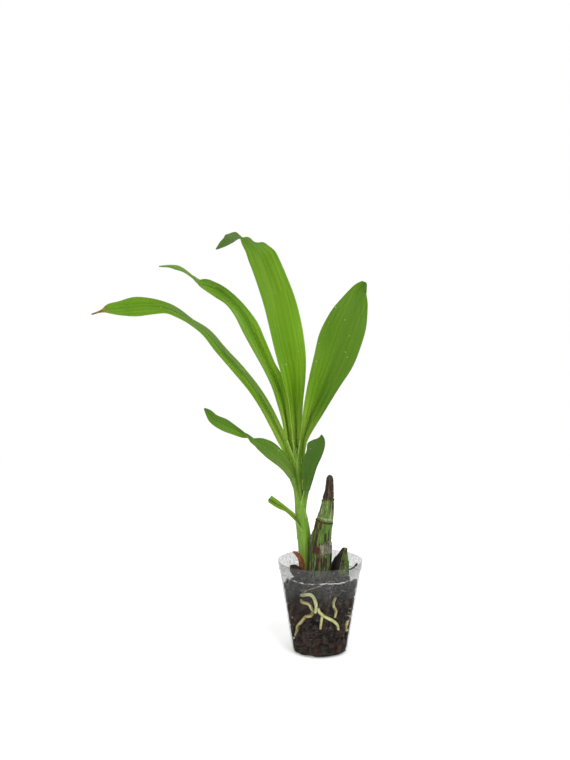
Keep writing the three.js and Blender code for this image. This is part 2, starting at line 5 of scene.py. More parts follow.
import bmesh
import bpy
import numpy as np
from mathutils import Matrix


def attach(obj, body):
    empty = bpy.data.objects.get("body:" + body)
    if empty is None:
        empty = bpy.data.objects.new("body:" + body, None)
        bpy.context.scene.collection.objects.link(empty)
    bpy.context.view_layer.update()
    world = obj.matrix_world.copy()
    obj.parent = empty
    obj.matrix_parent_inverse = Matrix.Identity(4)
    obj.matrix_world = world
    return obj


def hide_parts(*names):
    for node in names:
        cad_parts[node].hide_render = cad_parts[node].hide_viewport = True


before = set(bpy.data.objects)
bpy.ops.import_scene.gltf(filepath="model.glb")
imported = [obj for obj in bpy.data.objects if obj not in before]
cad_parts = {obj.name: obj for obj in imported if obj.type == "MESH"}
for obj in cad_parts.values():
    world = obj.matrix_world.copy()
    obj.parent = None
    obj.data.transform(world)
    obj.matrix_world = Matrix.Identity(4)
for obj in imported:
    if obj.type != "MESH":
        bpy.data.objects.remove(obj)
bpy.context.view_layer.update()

rng = np.random.default_rng(11)

MM = 0.001
FULL_TURN = 2 * math.pi

# Pot
POT_HEIGHT = 77.5
POT_BASE_RADIUS = 22.6
POT_TAPER = 0.1565
POT_WALL = 0.9
POT_CORNER = 4.0
BAND_LOW = 70.4
BAND_STEP = 0.8
LIP = 0.45
DRAIN_COUNT = 5
DRAIN_RADIUS = 1.8
DRAIN_CIRCLE = 13.0

# Potting mix: numbers of pieces, the gap from root to wall, and how far from a root chips give way to it
WALL_CHIPS = 620
TOP_CHIPS = 260
FRONT_CHIPS = 110
COIR_FIBRES = 420
CORE_RINGS = 24
ROOT_SPARE = 0.35
ROOT_ASIDE = 0.7
ROOT_BEHIND = 3.2

# Sheets: step along and strips across a blade, half thicknesses, the foot of the dry sheaths, and the
# part of a row between a sheath and its blade
BLADE_STEP = 1.1
BLADE_STRIPS = 14
BLADE_HALF = 0.34
BRACT_HALF = 0.3
SHEATH_HALF = 0.16
SHEATH_FOOT = 64.6
SEAM = 0.015

# Growths: rows are [x, y, z, half width across, half depth] up the middle line
COLUMN = [
    [-11.2, 5, 59.2, 4.8, 4.8], [-11.4, 5, 63.5, 5.7, 5.7], [-11.7, 5, 76, 5.8, 5.8],
    [-12.6, 5, 89, 5.8, 5.7], [-14.1, 4, 102, 5.7, 5.6], [-15.5, 3, 112, 5.3, 5.2],
    [-15.9, 2.5, 117, 4.5, 4.5], [-16.2, 1.5, 127.5, 4.3, 4.3], [-17.6, 0.5, 140, 4.6, 4.3],
    [-18.8, 0.5, 153, 5.2, 3.9], [-20, 1, 163, 5.6, 3.2], [-21, 1.4, 169, 4.6, 2.2],
    [-21.4, 1.6, 172.5, 2.4, 1.1],
]
OLD_BULB = [
    [-0.8, -5, 59.4, 5.8, 5.8], [-0.8, -5, 64, 8, 8], [0.2, -5, 78.5, 8.1, 8.1], [0.2, -5, 87, 8, 8],
    [0.6, -5, 95.5, 8.2, 8.2], [1.8, -5, 104, 7.5, 7.5], [3, -5, 110.5, 7.3, 7.3],
    [3.6, -5, 113.5, 6.9, 6.9], [5.1, -5, 120.5, 6.1, 6.1], [6.3, -5, 129, 4.9, 4.9],
    [7.2, -5, 137.5, 3.7, 3.7], [7.5, -5, 145, 3, 3], [7.6, -5, 148.4, 2.3, 2.3],
    [7.6, -5, 149.8, 0.9, 0.9],
]
BACK_BULB = [
    [16, 6, 59.2, 6, 6], [16, 6, 64.5, 8, 7.6], [16.8, 6, 72, 7, 6.8], [17.8, 6, 77, 5.4, 5.4],
    [19.2, 6, 82, 3.4, 3.4], [20.2, 6, 85.4, 2.3, 2.3], [20.3, 6, 86, 1.6, 1.6],
]
DEAD_ROOT = [
    [19, 6, 67, 0.9], [22, 5, 68.2, 0.8], [25, 4, 68.4, 0.7], [28, 4, 70, 0.7], [30.3, 4, 72.6, 0.9],
    [30.6, 4, 73.4, 0.6],
]
RHIZOME = [
    [-15, 3, 54.5, 2.4], [-11, 3, 55, 3.6], [0, -2, 55, 4], [9, 2, 55, 3.8], [16, 5, 55, 3.6],
    [20, 6, 54.6, 2.2],
]

# Leaves: rows are [x, y, z, left half, right half, turn, fold] from base to tip, and leaf_6 adds the lean
# of both halves to the tip. The sheath ends at row 1 unless given, and dry is the length of a brown tip.
# Shades are [row, dark left, dark right, dull left, dull right]; dark is painted shade, dull a grey-green
# tint.
LEAVES = {
    "leaf_1": {"dry": 15, "rows": [
        [-25, 0, 163, 3, 3, 0, 45], [-31, -3, 178, 5.5, 6.6, 0, 50], [-38.9, -6, 195, 5.9, 7.1, 0, 46],
        [-46.1, -8, 208.9, 5.7, 7.1, 0, 44], [-55.2, -10, 223.4, 5.6, 6.5, 0, 43],
        [-68, -12, 239.5, 5.8, 6.9, 0, 42], [-80.6, -14, 253.9, 5.2, 6.7, 0, 42],
        [-91.7, -15.5, 267.3, 3.9, 5.6, 0, 40], [-103.7, -17, 276.3, 2.9, 4.4, 0, 40],
        [-112.8, -18, 283, 4.4, 4.8, 0, 38], [-121.9, -19, 287.3, 4.7, 5.3, 0, 28],
        [-134, -20, 289.3, 7, 6.7, 0, 18], [-147, -21, 289, 8, 8, 0, 14],
        [-159.5, -21, 287.9, 6.1, 5.7, 0, 14], [-168, -21, 287, 3.7, 4.3, 0, 12],
        [-174, -21, 285.3, 1.2, 1.2, 0, 8], [-182, -21, 282.7, 0.5, 0.5, 0, 4],
    ], "shades": [
        [1, 0.25, 0.25, 0, 0], [4, 0.3, 0.2, 0, 0.5], [9, 0.2, 0.15, 0.2, 0.7], [10.5, 0.35, 0.3, 0, 0],
        [16, 0.15, 0.15, 0, 0],
    ]},
    "leaf_2": {"rows": [
        [-23.5, 2, 164, 3, 3, 0, 45], [-26, 4, 177, 5.5, 7, 0, 60], [-28.2, 7, 193, 7, 9, 0, 60],
        [-31.5, 10, 209.5, 8.1, 10.5, 0, 55], [-36, 13, 223, 7, 11.5, 0, 50],
        [-43.3, 16, 237, 5.9, 9.4, 0, 44], [-51.2, 19, 253.4, 7.7, 10.7, 0, 42],
        [-58.5, 21, 267.5, 7.8, 11.3, 0, 40], [-65.8, 22, 280.1, 6.7, 9.5, 0, 40],
        [-73.8, 23, 289.2, 5.3, 8.4, 0, 38], [-82.3, 24, 296.7, 6.7, 7.2, 0, 36],
        [-91.1, 25, 301.1, 6, 6.2, -10, 34], [-99.6, 26, 303.1, 5.2, 4.2, -55, 30],
        [-104.6, 27, 307.8, 3.4, 3.4, -90, 26], [-110.6, 28, 311.9, 3.2, 2.8, -112, 22],
        [-117.3, 28, 315.1, 3.5, 3.3, -128, 18], [-123.5, 28, 317.2, 1.7, 1.7, -140, 12],
        [-132.3, 28, 317.4, 0.5, 0.5, -150, 4],
    ], "shades": [
        [1, 0, 0, 0, 0], [4, 0.05, 0, 0.2, 0], [8, 0, 0, 0.2, 0.1], [10, 0.35, 0.4, 0, 0.1],
        [13, 0, 0, 0.4, 0.4], [17, 0, 0, 0.2, 0.2],
    ]},
    "leaf_3": {"rows": [
        [-19.2, 4, 166, 3, 3, 0, 45], [-19.6, 5, 177, 7, 7, 0, 64], [-20, 7, 193, 9, 9.6, 0, 60],
        [-21, 9, 209.5, 9.5, 11.5, 0, 52], [-22.5, 10, 226, 11, 14, 0, 44],
        [-24.9, 11, 241.9, 12, 15.8, 0, 34], [-28.6, 11, 258.4, 11.8, 17.2, 0, 28],
        [-32.2, 12, 274.9, 11.6, 17.4, 0, 24], [-36.1, 13, 291, 11.5, 16.3, 0, 20],
        [-41, 16, 307, 11.7, 14.5, 0, 18], [-46.6, 21, 321.3, 11.2, 13.4, 0, 16],
        [-51.4, 27, 330, 12.6, 10.2, -40, 14], [-57.6, 34, 335.2, 12.8, 10.4, -70, 12],
        [-64.5, 42, 339.2, 11.8, 10.8, -96, 12], [-71, 49, 338.8, 10.2, 10, -112, 12],
        [-76.2, 53, 336.2, 6.4, 6.4, -122, 12], [-81.3, 55, 333.2, 4.6, 4.6, -128, 10],
        [-86.8, 56, 329.8, 0.6, 0.6, -130, 4],
    ], "shades": [
        [1, 0, 0.1, 0, 0], [6, 0.2, 0, 0, 0], [10, 0.35, 0.3, 0, 0], [17, 0.45, 0.45, 0.3, 0.3],
    ]},
    "leaf_4": {"rows": [
        [-16.4, 0, 164.5, 3, 3, 0, 45], [-14, 0, 178, 7, 6.4, 0, 62],
        [-9.5, -1, 194.5, 10.5, 10.9, 0, 54], [-3.5, -2, 211, 13.4, 12.8, 0, 42],
        [2.7, -2, 227.7, 15.5, 15.7, 0, 32], [8.8, -1, 243.8, 16.6, 18.8, 0, 24],
        [14.4, 1, 259.8, 18, 19.3, 0, 20], [20.2, 4, 275.6, 15.3, 17.9, 0, 17],
        [26.4, 9, 289.6, 10, 12.4, 0, 15], [31.1, 15, 298.5, 6.2, 6.8, 0, 14],
        [34.1, 18, 301.4, 5.3, 5.9, -20, 14], [36.2, 22, 303.4, 2.3, 2.2, -20, 12],
        [36.2, 24, 304.8, 0.8, 0.8, -20, 8],
    ], "shades": [
        [1, 0.2, 0.3, 0, 0], [3, 0.25, 0.6, 0, 0], [6, 0.5, 0.55, 0, 0], [12, 0.55, 0.6, 0, 0],
    ]},
    "leaf_5": {"rows": [
        [-17.6, -6, 142.3, 3.5, 3.5, 165, 48], [-21.7, -9, 149, 8.2, 5.6, 165, 52],
        [-26.6, -12, 157.5, 7.1, 6.3, 165, 44], [-32.2, -15, 164.7, 8, 7.1, 165, 38],
        [-39.5, -18, 171.4, 9, 7.2, 165, 34], [-46.4, -21, 177.7, 6.6, 6.1, 160, 32],
        [-51.7, -23, 181.1, 5, 3.7, 140, 30], [-56, -24, 184.7, 4.1, 4.1, 96, 28],
        [-60.9, -25, 188, 4.9, 4.9, 50, 26], [-68.3, -26, 191.5, 4.8, 4.2, 20, 24],
        [-77.2, -27, 195.4, 5.3, 5.3, 0, 20], [-85.2, -28, 199.8, 4.3, 4.5, 0, 18],
        [-89.8, -28, 205, 2.6, 3.2, 0, 16], [-93, -28, 208.5, 0.6, 0.6, 0, 4],
    ], "shades": [
        [1, 0.5, 0.5, 0, 0], [5, 0.45, 0.5, 0.1, 0.1], [8, 0.4, 0.5, 0, 0.2], [13, 0.7, 0.7, 0, 0],
    ]},
    "leaf_6": {"rows": [
        [-11.6, -1, 127, 2.6, 2.6, 60, 48, 0], [-9.4, -2.6, 136.7, 5.6, 7.2, 80, 50, 0],
        [-6.6, -4, 146, 9.4, 10.4, 86, 57, 0], [-3.6, -5, 156, 11.6, 13.4, 88, 60, 0],
        [0.6, -5.6, 165.5, 13.2, 18.2, 86, 58, 0], [2.7, -5.6, 172, 13.4, 19.6, 80, 58, 4],
        [3.2, -5.3, 176.6, 10.4, 15.8, 74, 58, 11], [2.6, -5, 180.1, 4.6, 7.2, 70, 56, 18],
        [0.7, -4.4, 183, 0.6, 0.6, 70, 54, 18],
    ], "shades": [
        [0, 0.6, 0.6, 0, 0], [2, 0.85, 0.85, 0, 0], [8, 0.7, 0.7, 0, 0],
    ]},
    "leaf_7": {"sheath": 0.6, "rows": [
        [-16.2, 0.5, 108.5, 2.6, 2, -30, 40], [-24.2, -6, 117.5, 4.6, 2.9, -30, 50],
        [-29.4, -8.5, 122.5, 4.3, 2.7, -30, 50], [-35.2, -11, 126.4, 5.2, 3.8, -28, 48],
        [-42.4, -12.4, 131.4, 4.3, 4.6, -25, 46],
    ], "shades": [
        [0, 0.2, 0.2, 0, 0], [4, 0.3, 0.3, 0.1, 0.1],
    ]},
}

# Roots: rows are [x, y, z, radius]
ROOTS = [
    [[-11, 1, 55, 1.6], [-14, -10, 54, 1.4], [-15.5, -20, 53.4, 1.3], [-12.3, -26, 55.4, 1.3],
     [-8.2, -27.6, 55.8, 1.3], [-5.6, -27.7, 53, 1.3], [-4, -27.2, 48, 1.3], [-3.9, -26.6, 44, 1.2],
     [-4.6, -25.6, 40, 1]],
    [[-9, -1, 54, 1.6], [-14, -14, 52, 1.3], [-15.5, -22.7, 48.6, 1.2], [-10.1, -25.5, 47.4, 1.2],
     [-7.5, -25.8, 43.8, 1.2], [-6.4, -25.3, 40.6, 0.9]],
    [[-4, -2, 54, 1.6], [-5, -16, 48, 1.3], [-7, -24.6, 38.4, 1.3], [-12.2, -22.4, 35.7, 1.3],
     [-15.7, -19.2, 30.5, 1.3], [-18.4, -15.6, 26, 1.3], [-19.2, -13, 21, 1.2], [-20.6, -8.4, 15.8, 1]],
    [[3, -2, 54, 1.6], [-1, -16, 49, 1.3], [-1.6, -26.2, 42, 1.2], [1.4, -25.9, 38.6, 1.3],
     [5.4, -25, 35.6, 1.3], [9.6, -23.2, 32.9, 1.3], [13.4, -20.5, 28.8, 1.2], [14.6, -18.6, 23.6, 1]],
    [[6, -2, 53.5, 1.4], [2, -18, 43, 1.2], [0.8, -25.4, 35.2, 1.1], [0.2, -24.8, 31, 1.1],
     [-0.2, -24, 26, 0.9]],
    [[12, 2, 54.5, 1.6], [13, -14, 54, 1.3], [11.2, -25.5, 51, 1.2], [10.4, -25.1, 45.8, 1.1],
     [12.4, -23.4, 41, 1.1], [11.6, -22.8, 35.4, 0.9]],
    [[18, 5, 54, 1.6], [24, -4, 44, 1.3], [23, -7, 30, 1.3], [20.5, -11, 21.6, 1.2], [22.6, -6, 19.6, 1]],
    [[14, 6, 54, 1.6], [16, 18, 48, 1.3], [14, 22.6, 38, 1.3], [8, 24, 32, 1.3], [4, 23.4, 24, 1.2],
     [2, 22.4, 17, 1]],
    [[-10, 4, 54, 1.6], [-14, 18, 50, 1.3], [-16, 22.2, 44, 1.3], [-20.4, 16.4, 36, 1.2],
     [-22, 11.6, 28, 1]],
]


# Curves and noise

def unit(v):
    return v / np.maximum(np.linalg.norm(v, axis=-1, keepdims=True), 1e-9)


def around(count):
    return np.linspace(0, FULL_TURN, count, endpoint=False)


def polar(radius, angle, height):
    return [radius * math.cos(angle), radius * math.sin(angle), height]


def smooth(value, low, high):
    t = np.clip((value - low) / (high - low), 0, 1)
    return t * t * (3 - 2 * t)


def along(rows, s):
    """A smooth curve through every row, one row to each whole step."""
    rows = np.asarray(rows, float)
    s = np.asarray(s, float)
    i = np.clip(np.floor(s).astype(int), 0, len(rows) - 2)
    t = (s - i)[:, None]
    ends = np.vstack([2 * rows[0] - rows[1], rows, 2 * rows[-1] - rows[-2]])
    p0, p1, p2, p3 = (ends[i + k] for k in range(4))
    b = p2 - p0
    c = 2 * p0 - 5 * p1 + 4 * p2 - p3
    d = -p0 + 3 * p1 - 3 * p2 + p3
    return 0.5 * (2 * p1 + b * t + c * t**2 + d * t**3)


def heading(rows, s):
    step = 0.001
    ahead = along(rows, np.minimum(s + step, len(rows) - 1))[:, :3]
    return unit(ahead - along(rows, np.maximum(s - step, 0))[:, :3])


def lattice(cell, seed):
    n = cell @ np.array([73856093, 19349663, 83492791]) + seed * 26544357
    n = ((n ^ (n >> 13)) * 1274126177) & 0xFFFFFFFF
    n = ((n ^ (n >> 15)) * 668265263) & 0xFFFFFFFF
    return (n ^ (n >> 16)) / 0xFFFFFFFF


def noise(points, size, seed=0):
    """Smooth noise from -1 to 1 with lumps of about the given size."""
    p = np.asarray(points, float) / size
    base = np.floor(p).astype(np.int64)
    t = p - base
    t = t * t * (3 - 2 * t)
    total = 0
    for corner in np.ndindex(2, 2, 2):
        weight = np.prod(np.where(corner, t, 1 - t), axis=-1)
        total = total + weight * lattice(base + corner, seed)
    return 2 * total - 1


def skin_noise(u, z, wide, high, seed):
    """Noise on the skin of a growth, in lumps of wide degrees by high millimetres."""
    return noise(np.stack(np.broadcast_arrays(u / wide, z / high, 0.0), -1), 1, seed)


# Meshes

class Shape:
    """Points, faces and three marks to each point, gathered from several parts."""

    def __init__(self):
        self.points, self.faces, self.count = [], [], 0
        self.marks = {"mark": [], "tone": [], "shade": []}

    def add(self, points, faces, mark=(0, 0, 0), tone=(0, 0, 0), shade=(0, 0, 0)):
        points = np.asarray(points, float).reshape(-1, 3)
        self.points.append(points)
        self.faces += [np.asarray(block) + self.count for block in faces]
        for rows, value in zip(self.marks.values(), (mark, tone, shade)):
            rows.append(np.broadcast_to(np.asarray(value, float), points.shape))
        self.count += len(points)

    def mesh(self, name):
        mesh = bpy.data.meshes.new(name)
        faces = [face for block in self.faces for face in block.tolist()]
        mesh.from_pydata((np.concatenate(self.points) * MM).tolist(), [], faces)
        for key, rows in self.marks.items():
            layer = mesh.attributes.new(key, "FLOAT_VECTOR", "POINT")
            layer.data.foreach_set("vector", np.concatenate(rows).astype(np.float32).ravel())
        mesh.polygons.foreach_set("use_smooth", np.ones(len(mesh.polygons), bool))
        return mesh


def new_object(name, data):
    item = bpy.data.objects.new(name, data)
    bpy.context.scene.collection.objects.link(item)
    return item


def show(name, mesh, material, node):
    mesh.materials.clear()
    mesh.materials.append(material)
    item = new_object(name, mesh)
    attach(item, "root")
    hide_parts(node)


def grid_faces(rows, cols, closed=False):
    i, j = np.meshgrid(np.arange(rows - 1), np.arange(cols if closed else cols - 1), indexing="ij")
    a = i * cols + j
    b = i * cols + (j + 1) % cols
    return np.stack([a, b, b + cols, a + cols], -1).reshape(-1, 4)


def tube_faces(rows, cols):
    """Sides of a stack of closed rings with a fan at each end, whose middles are the last two points."""
    j = np.arange(cols)
    after = (j + 1) % cols
    low = np.stack([np.full(cols, rows * cols), after, j], 1)
    top = (rows - 1) * cols
    high = np.stack([np.full(cols, rows * cols + 1), top + j, top + after], 1)
    return [grid_faces(rows, cols, closed=True), low, high]


def capped(rings):
    rings = np.asarray(rings)
    middles = np.stack([rings[0].mean(0), rings[-1].mean(0)])
    return np.vstack([rings.reshape(-1, 3), middles]), tube_faces(*rings.shape[:2])


def grid_normals(grid):
    return unit(np.cross(np.gradient(grid, axis=1), np.gradient(grid, axis=0)))


def sheet(grid, front, back):
    """A closed sheet with its two faces at the given distances from a grid of points."""
    rows, cols = grid.shape[:2]
    normals = grid_normals(grid)
    count = rows * cols
    points = np.vstack([
        (grid + normals * front[..., None]).reshape(-1, 3),
        (grid - normals * back[..., None]).reshape(-1, 3),
    ])
    upper = grid_faces(rows, cols)
    lower = upper[:, ::-1] + count
    at = np.arange(count).reshape(rows, cols)
    rim = np.concatenate([at[0, :-1], at[:-1, -1], at[-1, :0:-1], at[:0:-1, 0]])
    after = np.roll(rim, -1)
    edge = np.stack([after, rim, rim + count, after + count], 1)
    return points, [upper, lower, edge]


def section(rows, s, strips):
    """Points across the blade at places s, with each point's reach and share out to the margin."""
    x, y, z, left, right, turn, fold, *lean = along(rows, s).T
    slope = np.tan(np.radians(lean[0] if lean else 0 * x))[:, None]
    middle = np.stack([x, y, z], 1)
    ahead = heading(rows, s)
    across = unit(np.cross((0, 1, 0), ahead))
    face = np.cross(across, ahead)
    roll = np.radians(turn)[:, None]
    side = across * np.cos(roll) + face * np.sin(roll)
    normal = np.cross(side, ahead)
    grid = np.repeat(middle[:, None], 2 * strips + 1, 1)
    place = np.zeros_like(grid)
    share = np.arange(1, strips + 1) / strips
    for hand in (-1, 1):
        width = np.maximum(left if hand < 0 else right, 0.5)[:, None]
        angle = np.radians(fold)[:, None] * (1.25 - 0.5 * (share - 0.5 / strips))
        out = np.cumsum(np.cos(angle), 1) * width / strips
        rise = np.cumsum(np.sin(angle), 1) * width / strips
        rise += 0.06 * width * np.sin(2.3 * s + 1.3 * hand)[:, None] * share**2
        cols = strips + hand * np.arange(1, strips + 1)
        grid[:, cols] += side[:, None] * (hand * out)[..., None] + normal[:, None] * rise[..., None]
        grid[:, cols] += ahead[:, None] * (slope * width * share)[..., None]
        place[:, cols, 0] = hand * width * share
        place[:, cols, 2] = share
    return grid, place


def leaf_grid(rows, start, step_mm, strips):
    """Grid of a blade as in the solids, with its place across, along and out to the margin."""
    fine = np.linspace(start, len(rows) - 1, 400)
    spots = along(rows, fine)[:, :3]
    length = np.concatenate([[0], np.cumsum(np.linalg.norm(np.diff(spots, axis=0), axis=1))])
    steps = max(4, int(length[-1] / step_mm))
    even = np.linspace(0, length[-1], steps + 1)
    s = np.interp(even, length, fine)
    grid, place = section(rows, s, strips)
    place[..., 1] = even[:, None]
    return grid, place, s


def leaf_shades(leaf, s, place):
    """Painted shade (darkness) and grey-green dullness at each point, from the leaf's short table."""
    table = np.array(leaf["shades"], float)
    found = [np.interp(s, table[:, 0], table[:, k])[:, None] for k in (1, 2, 3, 4)]
    right = smooth(place[..., 0], -1.5, 1.5)
    dark = found[0] * (1 - right) + found[1] * right
    dull = found[2] * (1 - right) + found[3] * right
    return np.stack([dark, dull, 0 * dark], -1)


def add_leaf(shape, leaf, start, step_mm, strips, half, seed=0):
    """A blade from a row of its leaf to the tip, with pleats, a midrib and thin margins."""
    grid, place, s = leaf_grid(leaf["rows"], start, step_mm, strips)
    length = place[-1, 0, 1]
    fade = smooth(place[..., 1], 0, 12) * smooth(length - place[..., 1], 2, 25)
    width = np.abs(place[:, [0, -1], 0]).max(1)[:, None]
    pleat = 0.22 * np.cos(place[..., 2] * np.pi * 2 * np.round(width / 4.5)) * fade
    swell = 0.5 * noise(place * (1, 1, 0), 17, seed) * place[..., 2] * fade
    grid = grid + grid_normals(grid) * (pleat + swell)[..., None]
    rib = np.exp(-((place[..., 0] / 0.8) ** 2))
    thin = half * (1 - 0.55 * place[..., 2] ** 2)
    keel = 0.45 * rib * smooth(length - place[..., 1], 0, 40)
    points, faces = sheet(grid, thin - 0.12 * rib, thin + keel)
    mark = np.vstack([place.reshape(-1, 3)] * 2)
    tones = np.zeros_like(mark)
    tones[len(mark) // 2:, 0] = 1
    dry = leaf.get("dry", 0)
    tones[:, 1] = smooth(mark[:, 1], length - dry - 3, length - dry * 0.35) if dry else 0
    tones[:, 2] = 1 - smooth(mark[:, 1], 0, 45)
    # Painted shade and dullness from the leaf's table, the same on both faces.
    shade = np.vstack([leaf_shades(leaf, s, place).reshape(-1, 3)] * 2)
    shape.add(points, faces, mark, tones, shade)


# Materials

def hue(text):
    """A linear colour from a six-letter screen colour."""
    screen = [int(text[k:k + 2], 16) / 255 for k in (0, 2, 4)]
    return [v / 12.92 if v <= 0.04045 else ((v + 0.055) / 1.055) ** 2.4 for v in screen] + [1]


class Look:
    """A material whose nodes are joined by the calls below."""

    def __init__(self, name, **settings):
        self.material = bpy.data.materials.new(name)
        self.material.use_nodes = True
        self.tree = self.material.node_tree
        self.shader = self.tree.nodes["Principled BSDF"]
        for key, value in settings.items():
            self.shader.inputs[key.replace("_", " ")].default_value = value

    def put(self, socket, value):
        if isinstance(value, bpy.types.NodeSocket):
            self.tree.links.new(value, socket)
        else:
            socket.default_value = value

    def add(self, kind, inputs, **settings):
        node = self.tree.nodes.new("ShaderNode" + kind)
        for key, value in settings.items():
            setattr(node, key, value)
        for key, value in inputs.items():
            self.put(node.inputs[key], value)
        return node

    def math(self, operation, a, b=0.0):
        return self.add("Math", {0: a, 1: b}, operation=operation).outputs[0]

    def times(self, a, b):
        return self.math("MULTIPLY", a, b)

    def plus(self, a, b):
        return self.math("ADD", a, b)

    def part(self, vector):
        return self.add("SeparateXYZ", {0: vector}).outputs

    def vector(self, x, y, z):
        return self.add("CombineXYZ", {0: x, 1: y, 2: z}).outputs[0]

    def mark(self, name):
        return self.part(self.add("Attribute", {}, attribute_name=name).outputs["Vector"])

    def place(self, scale=1.0, squeeze=(1, 1, 1)):
        """Position on the object in millimetres over the given size."""
        coordinates = self.add("TexCoord", {}).outputs["Object"]
        scales = [1000 / scale * k for k in squeeze]
        return self.add("Mapping", {"Vector": coordinates, "Scale": scales}).outputs[0]

    def noise(self, vector, detail=3.0, rough=0.55):
        inputs = {"Vector": vector, "Scale": 1.0, "Detail": detail, "Roughness": rough}
        return self.add("TexNoise", inputs).outputs["Fac"]

    def cells(self, vector):
        return self.add("TexVoronoi", {"Vector": vector, "Scale": 1.0}).outputs["Distance"]

    def span(self, value, low, high, start=0.0, end=1.0):
        inputs = {0: value, 1: low, 2: high, 3: start, 4: end}
        return self.add("MapRange", inputs, interpolation_type="SMOOTHSTEP").outputs[0]

    def ramp(self, value, *stops):
        node = self.add("ValToRGB", {0: value})
        bar = node.color_ramp.elements
        while len(bar) < len(stops):
            bar.new(0.5)
        for element, (position, colour) in zip(bar, stops):
            element.position = position
            element.color = hue(colour)
        return node.outputs[0]

    def mix(self, factor, a, b):
        return self.add("Mix", {0: factor, 6: a, 7: b}, data_type="RGBA").outputs[2]

    def finish(self, colour, roughness, height, distance):
        """Wires up the shader, with bumps as deep as the distance in millimetres."""
        bump = self.add("Bump", {"Height": height, "Distance": distance * MM, "Strength": 1.0})
        ends = {"Base Color": colour, "Roughness": roughness, "Normal": bump.outputs[0]}
        for key, value in ends.items():
            self.put(self.shader.inputs[key], value)
        return self.material


def leaf_look():
    look = Look("leaf_green", Specular_IOR_Level=0.14)
    across, length, edge = look.mark("mark")
    under, dry, base = look.mark("tone")
    dark, dull, _ = look.mark("shade")
    lines = look.vector(look.times(across, 0.9), look.times(length, 0.012), edge)
    streak = look.noise(lines, 3, 0.5)
    broad = look.noise(look.place(24, (1, 1, 0.4)))
    green = look.ramp(streak, (0.2, "58820f"), (0.5, "668f15"), (0.8, "759c1e"))
    green = look.mix(look.span(broad, 0.35, 0.7, 0, 0.4), green, hue("528212"))
    pale = look.ramp(streak, (0.3, "7f9f2c"), (0.7, "9cb550"))
    green = look.mix(look.times(base, 0.7), green, pale)
    green = look.mix(dull, green, hue("6d8650"))
    # Painted shade: a darker line down the midrib, where the fold's crease lies in shade.
    rib = look.span(look.math("ABSOLUTE", across), 0.15, 0.8, 0.3, 0)
    green = look.mix(rib, green, hue("2f560c"))
    green = look.mix(look.span(edge, 0.94, 1.0, 0, 0.35), green, hue("93ab55"))
    green = look.mix(look.times(under, 0.3), green, hue("5d7f3c"))
    veins = look.math("SINE", look.times(across, 2.7))
    green = look.mix(look.span(veins, 0.2, 1.0, 0, 0.06), green, hue("8db33c"))
    # Painted shade: darker green where the leaf's table says its halves lie in shade.
    green = look.mix(dark, green, hue("1e4206"))
    brown = look.ramp(look.noise(look.place(3)), (0.3, "3b2a14"), (0.7, "8a7038"))
    green = look.mix(dry, green, brown)
    spots = look.cells(look.place(8))
    green = look.mix(look.span(spots, 0.03, 0.055, 0.7, 0), green, hue("cfd99a"))
    rough = look.span(look.noise(look.place(6)), 0.3, 0.7, 0.5, 0.62)
    return look.finish(green, rough, veins, 0.004)


def column_look():
    look = Look("young_growth", Specular_IOR_Level=0.3)
    edge = look.mark("mark")[2]
    dark = look.mark("shade")[0]
    height = look.part(look.place())[2]
    streak = look.noise(look.place(1, (0.8, 0.8, 0.025)), 4, 0.6)
    broad = look.noise(look.place(14))
    green = look.ramp(streak, (0.3, "547a1a"), (0.5, "648a24"), (0.72, "7d9e3a"))
    high = look.ramp(streak, (0.3, "6f9626"), (0.55, "86aa38"), (0.8, "a7c060"))
    green = look.mix(look.span(height, 135, 165), green, high)
    green = look.mix(look.span(broad, 0.4, 0.7, 0, 0.4), green, hue("587e20"))
    green = look.mix(look.span(height, 60, 98, 0.5, 0), green, hue("6a7430"))
    # Painted shade: each blade's shade carried down onto its sheath.
    green = look.mix(dark, green, hue("1e4206"))
    # Pale sheath margins, partly painted highlight along the fan's stripes.
    green = look.mix(look.span(edge, 0.8, 0.97, 0, 0.5), green, hue("a6c065"))
    rough = look.span(look.noise(look.place(5)), 0.3, 0.7, 0.38, 0.52)
    return look.finish(green, rough, streak, 0.1)


def bulb_look():
    look = Look("old_growth_skin", Specular_IOR_Level=0.3)
    dark, pale, red = look.mark("mark")
    streak = look.noise(look.place(1, (1.1, 1.1, 0.12)), 5, 0.65)
    blot = look.noise(look.place(6, (1, 1, 0.6)), 4, 0.6)
    jitter = look.span(streak, 0.2, 0.8, -0.3, 0.3)
    green = look.ramp(streak, (0.3, "2a400e"), (0.5, "456516"), (0.72, "678233"))
    green = look.mix(look.span(blot, 0.45, 0.7, 0, 0.5), green, hue("3a5713"))
    papery = look.ramp(streak, (0.3, "4a4634"), (0.5, "787659"), (0.75, "aba88c"))
    black = look.ramp(streak, (0.3, "090504"), (0.5, "21130d"), (0.7, "6b4d3a"))
    rust = look.ramp(streak, (0.3, "280e08"), (0.6, "4c2415"), (0.8, "7a4e35"))
    colour = look.mix(look.span(look.plus(pale, jitter), 0.3, 0.6), green, papery)
    colour = look.mix(look.span(look.plus(dark, jitter), 0.35, 0.6), colour, black)
    colour = look.mix(look.span(look.plus(red, jitter), 0.35, 0.6), colour, rust)
    rough = look.span(streak, 0.3, 0.7, 0.5, 0.8)
    return look.finish(colour, rough, streak, 0.3)


def dry_look(name, low, middle, high):
    look = Look(name, Specular_IOR_Level=0.3)
    fibre = look.noise(look.place(1, (1.3, 1.3, 0.09)), 5, 0.7)
    blot = look.noise(look.place(4), 4)
    colour = look.ramp(fibre, (0.28, low), (0.5, middle), (0.75, high))
    colour = look.mix(look.span(blot, 0.45, 0.65, 0, 0.6), colour, hue(low))
    rough = look.span(fibre, 0.3, 0.7, 0.6, 0.85)
    return look.finish(colour, rough, fibre, 0.3)


